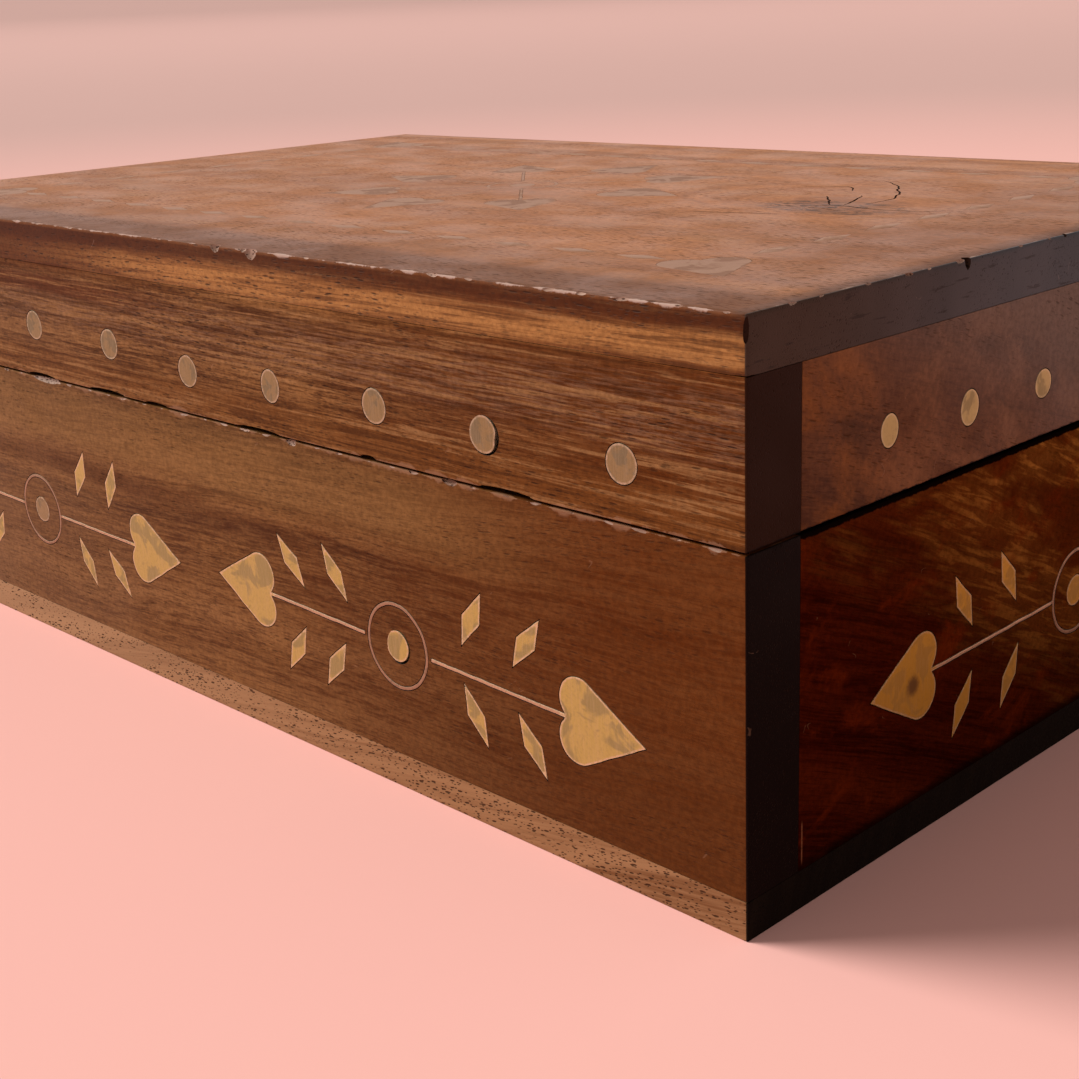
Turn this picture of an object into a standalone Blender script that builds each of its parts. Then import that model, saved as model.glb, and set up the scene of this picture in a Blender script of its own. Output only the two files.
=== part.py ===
"""Brass inlaid wooden box: a lift-off lid on a base, both of flush boards, with brass laid in the wood.

Units are metres, with +Z up. The origin is the middle of the underside. The front runs along X at -Y, and the
right side runs along Y at +X. On each inlaid face, u runs to the right as seen from outside and v runs up.
"""

import math

import bmesh
import bpy
from mathutils import Matrix, Vector

# Carcass
LENGTH = 0.2000
DEPTH = 0.1290
BASE_HEIGHT = 0.0424
LID_HEIGHT = 0.0233
SEAM_GAP = 0.0003
JOINT_GAP = 0.0003
WALL = 0.0086
BOTTOM_BOARD = 0.0046
TOP_BOARD = 0.0060
ARRIS = 0.0006
ARRIS_SEGMENTS = 2

# Brass sheet and wire, and the pockets they lie in
BRASS_THICKNESS = 0.0012
INLAY_GAP = 0.0002
WIRE_WIDTH = 0.0005
DOT_RADIUS = 0.0022
DOT_SIDES = 16

# Rows of dots on the lid, a little below the middle of its walls
DOT_ROW_DROP = 0.0021
FRONT_DOTS = 9
FRONT_ROW_LEFT_MARGIN = 0.0238
FRONT_ROW_RIGHT_MARGIN = 0.0162
SIDE_DOTS = 6
SIDE_ROW_LEFT_MARGIN = 0.0238
SIDE_ROW_RIGHT_MARGIN = 0.0267

# Figures of hearts, wires, a ring and leaves
HEART_LENGTH = 0.0130
HEART_WIDTH = 0.0106
NOTCH_DEPTH = 0.0011
LOBE_STEPS = 8
RING_RADIUS = 0.0057
RING_STEPS = 28
CENTRE_DOT_RADIUS = 0.00205
LEAF_LENGTH = 0.0084
LEAF_WIDTH = 0.0030
LEAF_OFFSET = 0.0065
LEAF_LEAN = math.radians(30)
LEAF_STATIONS = (0.476, 0.80)
WIRE_STOP_SHORT = 0.00055

# Where the figures lie: below the middle of the base's walls, between these margins
FIGURE_DROP = 0.00365
FRONT_FIGURE_MARGIN = 0.0136
FRONT_FIGURE_SPACE = 0.0096
FRONT_DIVIDE = 0.0026
SIDE_FIGURE_LEFT_MARGIN = 0.0213
SIDE_FIGURE_RIGHT_MARGIN = 0.0183

# Rosette on the lid
ROSETTE_REACH = 0.0325
ROSETTE_HEARTS = 8
ROSETTE_SHIFT = (0.0015, 0.0025)

# The inlay was laid by hand. These say how far a ring sits from its figure's middle, how far the figure
# rises above its regular height and how it tilts
FRONT_LEFT_RING_SHIFT = 0.00305
FRONT_LEFT_RISE = 0.0005
FRONT_LEFT_TILT = math.radians(-1.0)
FRONT_RIGHT_RING_SHIFT = -0.0014
FRONT_RIGHT_RISE = -0.0007
FRONT_RIGHT_TILT = math.radians(-2.0)
SIDE_RING_SHIFT = 0.0
SIDE_RISE = 0.0004
SIDE_TILT = math.radians(0.8)

# How far a dot strays from its regular place along and across its row, by its number from the left
FRONT_DOT_STRAY = {3: (0.0003, 0.00135), 4: (0.0015, 0.00085), 5: (0.0011, -0.00055), 6: (-0.0002, -0.0001),
                   7: (0.00045, 0.00025), 8: (-0.0007, -0.00025), 9: (0.0, -0.00015)}
SIDE_DOT_STRAY = {1: (0.0, 0.00085), 2: (-0.0002, 0.00025)}

# How far a leaf strays outward, upward and in its lean (degrees), by its number within a figure
FRONT_LEFT_LEAF_STRAY = {1: (0.0004, 0.0015, -6), 2: (-0.0003, 0.0005, -2),
                         3: (0.0003, 0.0013, -10), 4: (0.0, 0.0005, 8)}
FRONT_RIGHT_LEAF_STRAY = {1: (0.0, 0.0003, -3), 2: (0.0001, 0.0012, -3),
                          3: (-0.0003, -0.0004, 4), 4: (0.0002, 0.0001, 1),
                          5: (-0.0008, 0.0005, 3), 6: (0.0002, 0.0008, 3),
                          7: (-0.0001, 0.0002, 9), 8: (-0.0001, 0.0009, 2)}
SIDE_LEAF_STRAY = {5: (0.0009, -0.0001, -2), 6: (-0.0003, -0.0002, -5),
                   7: (0.0, -0.0005, -1), 8: (-0.0004, -0.0004, -3)}

# Levels worked out from the boards
BASE_WALL_BOTTOM = BOTTOM_BOARD + JOINT_GAP
LID_BOTTOM = BASE_HEIGHT + SEAM_GAP
TOTAL_HEIGHT = LID_BOTTOM + LID_HEIGHT
TOP_UNDERSIDE = TOTAL_HEIGHT - TOP_BOARD
LID_WALL_TOP = TOP_UNDERSIDE - JOINT_GAP
FIGURE_LEVEL = (BASE_WALL_BOTTOM + BASE_HEIGHT) / 2 - FIGURE_DROP
DOT_ROW_LEVEL = (LID_BOTTOM + LID_WALL_TOP) / 2 - DOT_ROW_DROP

# The heart's lobes: circles whose size follows from the heart's width and the depth of its notch
LOBE_RADIUS = HEART_WIDTH / 2 + NOTCH_DEPTH - math.sqrt(HEART_WIDTH * NOTCH_DEPTH)
LOBE_OFFSET = HEART_WIDTH / 2 - LOBE_RADIUS
NOTCH_TO_POINT = HEART_LENGTH - NOTCH_DEPTH

WOOD_COLOUR = (0.16, 0.060, 0.024)
RAW_WOOD_COLOUR = (0.33, 0.155, 0.080)
BRASS_COLOUR = (0.56, 0.40, 0.17)

COLLECTION_NAME = "brass_inlaid_wooden_box"
WELD_DISTANCE = 0.00001


def clear_scene():
    for obj in list(bpy.data.objects):
        bpy.data.objects.remove(obj, do_unlink=True)


def new_collection(name):
    collection = bpy.data.collections.new(name)
    bpy.context.scene.collection.children.link(collection)
    return collection


def make_material(name, colour, roughness, metallic):
    material = bpy.data.materials.new(name)
    material.use_nodes = True
    shader = material.node_tree.nodes["Principled BSDF"]
    shader.inputs["Base Color"].default_value = (*colour, 1.0)
    shader.inputs["Roughness"].default_value = roughness
    shader.inputs["Metallic"].default_value = metallic
    return material


def add_object(name, mesh, collection, material, matrix=None):
    obj = bpy.data.objects.new(name, mesh)
    collection.objects.link(obj)
    if material is not None:
        mesh.materials.append(material)
    if matrix is not None:
        obj.matrix_world = matrix
    return obj


def add_cutter(name, mesh, matrix):
    obj = add_object(name, mesh, CUTTERS, None, matrix)
    obj.hide_render = True
    obj.display_type = "WIRE"
    return obj


def finish_bmesh(bm, name):
    mesh = bpy.data.meshes.new(name)
    bm.to_mesh(mesh)
    bm.free()
    return mesh


# Wood

def on_carcass_corner(edge):
    """True where two outer sides of the whole box meet along this edge, so the edge was eased by sanding."""
    middle = (edge.verts[0].co + edge.verts[1].co) / 2
    outer_sides = (
        math.isclose(abs(middle.x), LENGTH / 2, abs_tol=WELD_DISTANCE),
        math.isclose(abs(middle.y), DEPTH / 2, abs_tol=WELD_DISTANCE),
        math.isclose(middle.z, 0.0, abs_tol=WELD_DISTANCE)
        or math.isclose(middle.z, TOTAL_HEIGHT, abs_tol=WELD_DISTANCE),
    )
    return sum(outer_sides) == 2


def board(name, low, high, material):
    """A board between two opposite corners, with only the arrises of the whole box eased."""
    bm = bmesh.new()
    bmesh.ops.create_cube(bm, size=1.0)
    size = Vector(high) - Vector(low)
    middle = (Vector(high) + Vector(low)) / 2
    bmesh.ops.scale(bm, vec=size, verts=bm.verts)
    bmesh.ops.translate(bm, vec=middle, verts=bm.verts)
    weights = bm.edges.layers.float.new("bevel_weight_edge")
    for edge in bm.edges:
        edge[weights] = 1.0 if on_carcass_corner(edge) else 0.0
    bmesh.ops.translate(bm, vec=-middle, verts=bm.verts)
    obj = add_object(name, finish_bmesh(bm, name), PARTS, material, Matrix.Translation(middle))
    bevel = obj.modifiers.new("eased arrises", "BEVEL")
    bevel.limit_method = "WEIGHT"
    bevel.width = ARRIS
    bevel.segments = ARRIS_SEGMENTS
    return obj


def walls(prefix, bottom, top, material):
    """Four upright boards: front and back run the whole length and cover the ends of left and right."""
    inner_x = LENGTH / 2 - WALL
    inner_y = DEPTH / 2 - WALL
    side_end = inner_y - JOINT_GAP
    spans = {
        "front": ((-LENGTH / 2, -DEPTH / 2), (LENGTH / 2, -inner_y)),
        "back": ((-LENGTH / 2, inner_y), (LENGTH / 2, DEPTH / 2)),
        "left": ((-LENGTH / 2, -side_end), (-inner_x, side_end)),
        "right": ((inner_x, -side_end), (LENGTH / 2, side_end)),
    }
    return {
        side: board(f"{prefix}_{side}_board", (*low, bottom), (*high, top), material)
        for side, (low, high) in spans.items()
    }


# Brass outlines, as lists of points (u, v)

def circle_outline(radius, steps):
    return [(radius * math.cos(math.tau * k / steps), radius * math.sin(math.tau * k / steps))
            for k in range(steps)]


def arc_between(radius, start, stop, steps):
    """Points strictly between two angles on a circle, anticlockwise."""
    turn = (stop - start) % math.tau
    count = max(1, round(steps * turn / math.tau))
    return [(radius * math.cos(start + turn * k / count), radius * math.sin(start + turn * k / count))
            for k in range(1, count)]


def arm_outline(start, reach, grow):
    """One wire with a heart at its end, along +u, from its right edge out and round to its left edge.

    The wire begins at u = start and the heart's point is at u = reach. The heart is two lobes whose common
    tangents meet in the point. Every side moves out by grow, which turns the brass into its pocket.
    """
    half_wire = WIRE_WIDTH / 2 + grow
    radius = LOBE_RADIUS + grow
    lobe_to_point = HEART_LENGTH - LOBE_RADIUS
    lobe_u = reach - lobe_to_point
    distance = math.hypot(lobe_to_point, LOBE_OFFSET)
    half_angle = math.atan2(LOBE_OFFSET, lobe_to_point) + math.asin(LOBE_RADIUS / distance)
    point_u = reach + grow / math.sin(half_angle)
    tangent = math.pi / 2 - half_angle
    notch = math.pi + math.asin((LOBE_OFFSET - half_wire) / radius)
    upper = []
    for k in range(LOBE_STEPS + 1):
        angle = notch + (tangent - notch) * k / LOBE_STEPS
        upper.append((lobe_u + radius * math.cos(angle), LOBE_OFFSET + radius * math.sin(angle)))
    lower = [(u, -v) for u, v in upper]
    return [(start, -half_wire)] + lower + [(point_u, 0.0)] + upper[::-1] + [(start, half_wire)]


def turned(points, angle):
    cosine, sine = math.cos(angle), math.sin(angle)
    return [(u * cosine - v * sine, u * sine + v * cosine) for u, v in points]


def hearts_on_ring(reaches, grow):
    """Arms standing round a ring and joined to it: one closed outline, and the ring's inner circle."""
    outer = RING_RADIUS + grow
    inner = RING_RADIUS - WIRE_WIDTH - grow
    half_wire = WIRE_WIDTH / 2 + grow
    start = math.sqrt(outer ** 2 - half_wire ** 2)
    half_turn = math.asin(half_wire / outer)
    spacing = math.tau / len(reaches)
    outline = []
    for k, reach in enumerate(reaches):
        outline += turned(arm_outline(start, reach, grow), k * spacing)
        outline += arc_between(outer, k * spacing + half_turn, (k + 1) * spacing - half_turn, RING_STEPS)
    return [outline, circle_outline(inner, RING_STEPS)]


def ring_outlines(grow):
    return [circle_outline(RING_RADIUS + grow, RING_STEPS),
            circle_outline(RING_RADIUS - WIRE_WIDTH - grow, RING_STEPS)]


def leaf_outline(grow):
    """A lozenge along v whose four sides lie grow outside those of the brass."""
    half_length = LEAF_LENGTH / 2
    half_width = LEAF_WIDTH / 2
    slant = math.hypot(half_length, half_width)
    tip = half_length + grow * slant / half_width
    side = half_width + grow * slant / half_length
    return [(0.0, -tip), (side, 0.0), (0.0, tip), (-side, 0.0)]


# Brass pieces and their pockets

def flat_mesh(name, outlines, low, high):
    """A flat plate between two levels with these outlines; an outline inside another is a hole."""
    curve = bpy.data.curves.new(name, "CURVE")
    curve.dimensions = "2D"
    curve.fill_mode = "BOTH"
    curve.extrude = (high - low) / 2
    for outline in outlines:
        spline = curve.splines.new("POLY")
        spline.points.add(len(outline) - 1)
        for point, (u, v) in zip(spline.points, outline):
            point.co = (u, v, 0.0, 1.0)
        spline.use_cyclic_u = True
    source = bpy.data.objects.new(name, curve)
    bpy.context.scene.collection.objects.link(source)
    evaluated = source.evaluated_get(bpy.context.evaluated_depsgraph_get())
    mesh = bpy.data.meshes.new_from_object(evaluated)
    bpy.data.objects.remove(source)
    bpy.data.curves.remove(curve)
    bm = bmesh.new()
    bm.from_mesh(mesh)
    bmesh.ops.remove_doubles(bm, verts=bm.verts, dist=WELD_DISTANCE)
    bmesh.ops.translate(bm, vec=(0.0, 0.0, (high + low) / 2), verts=bm.verts)
    bmesh.ops.recalc_face_normals(bm, faces=bm.faces)
    bm.to_mesh(mesh)
    bm.free()
    mesh.name = name
    return mesh


def disc_mesh(name, radius, low, high):
    bm = bmesh.new()
    bmesh.ops.create_cone(bm, cap_ends=True, segments=DOT_SIDES, radius1=radius, radius2=radius,
                          depth=high - low, matrix=Matrix.Translation((0.0, 0.0, (high + low) / 2)))
    return finish_bmesh(bm, name)


def inlay(name, place, wood, make_mesh):
    """A brass piece flush with the wood, and the pocket for it, which is cut in the board under it."""
    brass = make_mesh(name, 0.0, -BRASS_THICKNESS, 0.0)
    add_object(name, brass, PARTS, BRASS, place)
    pocket = make_mesh(f"{name}_pocket", INLAY_GAP, -BRASS_THICKNESS - INLAY_GAP, BRASS_THICKNESS)
    POCKETS.setdefault(wood.name, []).append(add_cutter(f"{name}_pocket", pocket, place))


def plate(outlines_for):
    """Turns a function of grow that gives outlines into one that makes a plate's mesh."""
    def make_mesh(name, grow, low, high):
        return flat_mesh(name, outlines_for(grow), low, high)
    return make_mesh


def disc(radius):
    def make_mesh(name, grow, low, high):
        return disc_mesh(name, radius + grow, low, high)
    return make_mesh


def at(face, u, v, angle=0.0):
    return face @ Matrix.Translation((u, v, 0.0)) @ Matrix.Rotation(angle, 4, "Z")


def cut_pockets(boards):
    for wood in boards:
        for cutter in POCKETS.get(wood.name, []):
            pocket = wood.modifiers.new(cutter.name, "BOOLEAN")
            pocket.operation = "DIFFERENCE"
            pocket.solver = "EXACT"
            pocket.object = cutter


def dot_row(prefix, face, wood, width, count, left_margin, right_margin, stray):
    pitch = (width - left_margin - right_margin) / (count - 1)
    for k in range(count):
        number = k + 1
        stray_u, stray_v = stray.get(number, (0.0, 0.0))
        u = -width / 2 + left_margin + pitch * k + stray_u
        inlay(f"{prefix}_dot_{number}", at(face, u, DOT_ROW_LEVEL + stray_v), wood, disc(DOT_RADIUS))


def leaves(prefix, face, wood, ring_u, ring_v, reaches, stray):
    """Four lozenges on each arm, in pairs above and below the wire, leaning out like a feather's barbs."""
    number = 0
    for direction, reach in zip((1, -1), reaches):
        notch = reach - NOTCH_TO_POINT
        for station in LEAF_STATIONS:
            for side in (1, -1):
                number += 1
                stray_out, stray_up, stray_lean = stray.get(number, (0.0, 0.0, 0))
                u = ring_u + direction * (notch * station + stray_out)
                v = ring_v + side * LEAF_OFFSET + stray_up
                lean = -direction * side * (LEAF_LEAN + math.radians(stray_lean))
                place = at(face, u, v, lean)
                inlay(f"{prefix}_leaf_{number}", place, wood, plate(lambda grow: [leaf_outline(grow)]))


def figure(prefix, face, wood, span, ring_shift, rise, tilt, joined, stray):
    """Hearts at both ends of a wire that a ring interrupts; joined says that the wires reach the ring."""
    left, right = span
    ring_u = (left + right) / 2 + ring_shift
    ring_v = FIGURE_LEVEL + rise
    reaches = (right - ring_u, ring_u - left)
    centre = at(face, ring_u, ring_v, tilt)
    if joined:
        inlay(f"{prefix}_hearts_and_ring", centre, wood, plate(lambda grow: hearts_on_ring(reaches, grow)))
    else:
        inlay(f"{prefix}_ring", centre, wood, plate(ring_outlines))
        start = RING_RADIUS + WIRE_STOP_SHORT
        for side, reach, turn in zip(("right", "left"), reaches, (0.0, math.pi)):
            def heart_and_wire(grow, reach=reach):
                return [arm_outline(start - grow, reach, grow)]
            place = centre @ Matrix.Rotation(turn, 4, "Z")
            inlay(f"{prefix}_{side}_heart", place, wood, plate(heart_and_wire))
    inlay(f"{prefix}_centre_dot", centre, wood, disc(CENTRE_DOT_RADIUS))
    leaves(prefix, face, wood, ring_u, ring_v, reaches, stray)


def rosette(prefix, face, wood):
    centre = at(face, *ROSETTE_SHIFT)
    reaches = [ROSETTE_REACH] * ROSETTE_HEARTS
    inlay(f"{prefix}_rosette", centre, wood, plate(lambda grow: hearts_on_ring(reaches, grow)))
    inlay(f"{prefix}_rosette_dot", centre, wood, disc(CENTRE_DOT_RADIUS))


clear_scene()
PARTS = new_collection(COLLECTION_NAME)
CUTTERS = new_collection("pocket_cutters")
POCKETS = {}

WOOD = make_material("dark_wood", WOOD_COLOUR, 0.42, 0.0)
RAW_WOOD = make_material("raw_wood", RAW_WOOD_COLOUR, 0.62, 0.0)
BRASS = make_material("aged_brass", BRASS_COLOUR, 0.36, 1.0)

# The base: a raw board under four walls
near_left = (-LENGTH / 2, -DEPTH / 2)
far_right = (LENGTH / 2, DEPTH / 2)
board("base_bottom_board", (*near_left, 0.0), (*far_right, BOTTOM_BOARD), RAW_WOOD)
base = walls("base", BASE_WALL_BOTTOM, BASE_HEIGHT, WOOD)

# The lid: four walls under a top board that reaches out to their faces
lid = walls("lid", LID_BOTTOM, LID_WALL_TOP, WOOD)
top_board = board("lid_top_board", (*near_left, TOP_UNDERSIDE), (*far_right, TOTAL_HEIGHT), WOOD)

# Faces that carry brass: local X is u, local Y is v, local Z points out of the wood
front_face = Matrix(((1, 0, 0, 0), (0, 0, -1, -DEPTH / 2), (0, 1, 0, 0), (0, 0, 0, 1)))
side_face = Matrix(((0, 0, 1, LENGTH / 2), (1, 0, 0, 0), (0, 1, 0, 0), (0, 0, 0, 1)))
top_face = Matrix.Translation((0.0, 0.0, TOTAL_HEIGHT))

dot_row("lid_front", front_face, lid["front"], LENGTH, FRONT_DOTS,
        FRONT_ROW_LEFT_MARGIN, FRONT_ROW_RIGHT_MARGIN, FRONT_DOT_STRAY)
dot_row("lid_side", side_face, lid["right"], DEPTH, SIDE_DOTS,
        SIDE_ROW_LEFT_MARGIN, SIDE_ROW_RIGHT_MARGIN, SIDE_DOT_STRAY)

outer_end = LENGTH / 2 - FRONT_FIGURE_MARGIN
left_span = (-outer_end, FRONT_DIVIDE - FRONT_FIGURE_SPACE / 2)
right_span = (FRONT_DIVIDE + FRONT_FIGURE_SPACE / 2, outer_end)
side_span = (SIDE_FIGURE_LEFT_MARGIN - DEPTH / 2, DEPTH / 2 - SIDE_FIGURE_RIGHT_MARGIN)
figure("front_left", front_face, base["front"], left_span, FRONT_LEFT_RING_SHIFT, FRONT_LEFT_RISE,
       FRONT_LEFT_TILT, True, FRONT_LEFT_LEAF_STRAY)
figure("front_right", front_face, base["front"], right_span, FRONT_RIGHT_RING_SHIFT, FRONT_RIGHT_RISE,
       FRONT_RIGHT_TILT, False, FRONT_RIGHT_LEAF_STRAY)
figure("side", side_face, base["right"], side_span, SIDE_RING_SHIFT, SIDE_RISE, SIDE_TILT, True,
       SIDE_LEAF_STRAY)

rosette("lid_top", top_face, top_board)

cut_pockets([base["front"], base["right"], lid["front"], lid["right"], top_board])
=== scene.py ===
import math

import bmesh
import bpy
from mathutils import Matrix, Vector, noise
from mathutils.kdtree import KDTree


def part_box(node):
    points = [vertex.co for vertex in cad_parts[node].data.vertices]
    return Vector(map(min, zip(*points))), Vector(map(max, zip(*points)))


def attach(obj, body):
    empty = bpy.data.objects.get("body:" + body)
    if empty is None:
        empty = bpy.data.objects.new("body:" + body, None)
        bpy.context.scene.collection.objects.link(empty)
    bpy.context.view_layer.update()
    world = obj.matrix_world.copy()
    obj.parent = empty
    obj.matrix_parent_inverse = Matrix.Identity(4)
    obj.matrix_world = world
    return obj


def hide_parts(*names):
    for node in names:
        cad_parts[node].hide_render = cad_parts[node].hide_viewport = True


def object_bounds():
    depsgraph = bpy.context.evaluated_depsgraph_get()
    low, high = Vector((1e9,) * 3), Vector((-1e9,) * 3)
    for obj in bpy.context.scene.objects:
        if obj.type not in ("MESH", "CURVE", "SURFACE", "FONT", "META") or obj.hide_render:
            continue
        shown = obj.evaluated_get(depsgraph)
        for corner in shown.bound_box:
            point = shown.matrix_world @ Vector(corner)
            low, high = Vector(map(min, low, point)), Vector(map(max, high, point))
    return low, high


# Looks for the brass inlaid wooden box: worn boards, the brass laid in them, and their finishes.
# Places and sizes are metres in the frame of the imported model. Patterns are worked out in millimetres.

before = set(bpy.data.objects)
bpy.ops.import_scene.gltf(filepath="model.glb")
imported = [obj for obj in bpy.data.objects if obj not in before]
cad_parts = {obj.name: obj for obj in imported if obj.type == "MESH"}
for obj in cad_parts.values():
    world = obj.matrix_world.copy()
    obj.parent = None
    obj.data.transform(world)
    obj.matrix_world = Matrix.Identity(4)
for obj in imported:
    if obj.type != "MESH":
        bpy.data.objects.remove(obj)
CAD_BOX = [[float(c) for c in corner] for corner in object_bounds()]

MM = 0.001
BOX_LOW = Vector(CAD_BOX[0])
BOX_HIGH = Vector(CAD_BOX[1])
BASE_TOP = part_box("base_front_board")[1].z
LID_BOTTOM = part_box("lid_front_board")[0].z
TOP_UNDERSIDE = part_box("lid_top_board")[0].z
BOTTOM_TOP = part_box("base_bottom_board")[1].z
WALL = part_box("base_front_board")[1].y - BOX_LOW.y

# Wood
TOP_ARRIS = 0.30 * MM
SIDE_ARRIS = 0.30 * MM
FRONT_ARRIS = 0.13 * MM
ARRIS_WEAR = 0.4
JOINT_EASE = 0.015 * MM
UNEVENNESS = 0.035 * MM
VERTEX_SPACING = 0.9 * MM
LONGEST_COUNT = 220

# Brass and the pockets round it
BRASS_THICKNESS = 0.8 * MM
BRASS_EDGE = 0.07 * MM
BRASS_SHRINK = -0.03 * MM
POCKET_GAP = 0.07 * MM
RING_REACH = 6.1 * MM
RIM_GRID = 0.45 * MM
OUTLINE_SPACING = 0.28 * MM
SAW_WANDER = 0.07 * MM
CORNER_TURN = math.radians(36)
STRAIGHT_RUN = 2.0 * MM
HEART_LENGTH = 13.0 * MM
HEART_WIDTH = 10.6 * MM
HEART_NOTCH = 1.1 * MM
LEAF_SKEW = 0.27

# The lid's border of lozenges and its corner hearts
BORDER_LONG_PITCH = 10.55 * MM
BORDER_SHORT_PITCH = 10.7 * MM
BORDER_Y = 43.9 * MM
BORDER_X = 78.5 * MM
BORDER_LEAF_LENGTH = 7.5 * MM
BORDER_LEAF_WIDTH = 2.6 * MM
CORNER_HEART_X = 80.0 * MM
CORNER_HEART_Y = 45.5 * MM

COLLECTION = bpy.context.scene.collection


# Faces that carry brass: local X is u, local Y is v, local Z points out of the wood

def face_matrix(u, v, origin):
    out = Vector(u).cross(Vector(v))
    return Matrix((
        (u[0], v[0], out.x, origin[0]),
        (u[1], v[1], out.y, origin[1]),
        (u[2], v[2], out.z, origin[2]),
        (0.0, 0.0, 0.0, 1.0),
    ))


FRONT = face_matrix((1, 0, 0), (0, 0, 1), (0.0, BOX_LOW.y, 0.0))
RIGHT = face_matrix((0, 1, 0), (0, 0, 1), (BOX_HIGH.x, 0.0, 0.0))
BACK = face_matrix((-1, 0, 0), (0, 0, 1), (0.0, BOX_HIGH.y, 0.0))
LEFT = face_matrix((0, -1, 0), (0, 0, 1), (BOX_LOW.x, 0.0, 0.0))
TOP = face_matrix((1, 0, 0), (0, 1, 0), (0.0, 0.0, BOX_HIGH.z))


# Node trees

def put(tree, kind, inputs=None, **settings):
    """Adds a node. Inputs are given by name or number; a socket is linked, and a value is set."""
    node = tree.nodes.new(kind)
    node.location.x = 190 * (len(tree.nodes) % 24)
    node.location.y = -260 * (len(tree.nodes) // 24)
    for setting, value in settings.items():
        setattr(node, setting, value)
    for socket, value in (inputs or {}).items():
        if isinstance(value, bpy.types.NodeSocket):
            tree.links.new(value, node.inputs[socket])
        else:
            node.inputs[socket].default_value = value
    return node


def calc(tree, operation, *values):
    return put(tree, "ShaderNodeMath", dict(enumerate(values)), operation=operation).outputs[0]


def vector_calc(tree, operation, *values):
    node = put(tree, "ShaderNodeVectorMath", dict(enumerate(values)), operation=operation)
    return node.outputs["Value" if operation in ("LENGTH", "DISTANCE", "DOT_PRODUCT") else "Vector"]


def scaled(tree, vector, factor):
    node = put(tree, "ShaderNodeVectorMath", {0: vector, "Scale": factor}, operation="SCALE")
    return node.outputs["Vector"]


def ramp(tree, value, low, high, start=0.0, end=1.0):
    """A smooth step: start where value is low, and end where it is high."""
    inputs = {0: value, 1: low, 2: high, 3: start, 4: end}
    return put(tree, "ShaderNodeMapRange", inputs, interpolation_type="SMOOTHSTEP").outputs[0]


def noise_at(tree, vector, detail=2.0, roughness=0.5, distortion=0.0):
    inputs = {"Vector": vector, "Scale": 1.0, "Detail": detail, "Roughness": roughness,
              "Distortion": distortion}
    return put(tree, "ShaderNodeTexNoise", inputs)


def mix(tree, factor, first, second, mode="MIX"):
    """Mixes two colours."""
    node = put(tree, "ShaderNodeMix", {0: factor, 6: first, 7: second}, data_type="RGBA", blend_type=mode)
    return node.outputs[2]


def colour(red, green, blue):
    return (red, green, blue, 1.0)


def new_group(name, kind, inputs, outputs):
    """A node group with named sockets. Inputs are name: (socket type, default), outputs name: type."""
    tree = bpy.data.node_groups.new(name, kind)
    for socket, (socket_type, default) in inputs.items():
        made = tree.interface.new_socket(socket, in_out="INPUT", socket_type=socket_type)
        if default is not None:
            made.default_value = default
    for socket, socket_type in outputs.items():
        tree.interface.new_socket(socket, in_out="OUTPUT", socket_type=socket_type)
    given = tree.nodes.new("NodeGroupInput").outputs
    result = tree.nodes.new("NodeGroupOutput").inputs
    return tree, given, result


def use_group(tree, group, inputs):
    node = put(tree, "ShaderNodeGroup", node_tree=group)
    for socket, value in inputs.items():
        if isinstance(value, bpy.types.NodeSocket):
            tree.links.new(value, node.inputs[socket])
        else:
            node.inputs[socket].default_value = value
    return node.outputs


FLOAT, VECTOR, INT = "NodeSocketFloat", "NodeSocketVector", "NodeSocketInt"


def second_smallest(tree, vector):
    """The second smallest of a vector's three numbers: from face distances, the distance to an arris."""
    parts = put(tree, "ShaderNodeSeparateXYZ", {0: vector}).outputs
    lower = calc(tree, "MINIMUM", parts[0], parts[1])
    upper = calc(tree, "MAXIMUM", parts[0], parts[1])
    return calc(tree, "MAXIMUM", lower, calc(tree, "MINIMUM", upper, parts[2]))


# Shader groups

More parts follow.
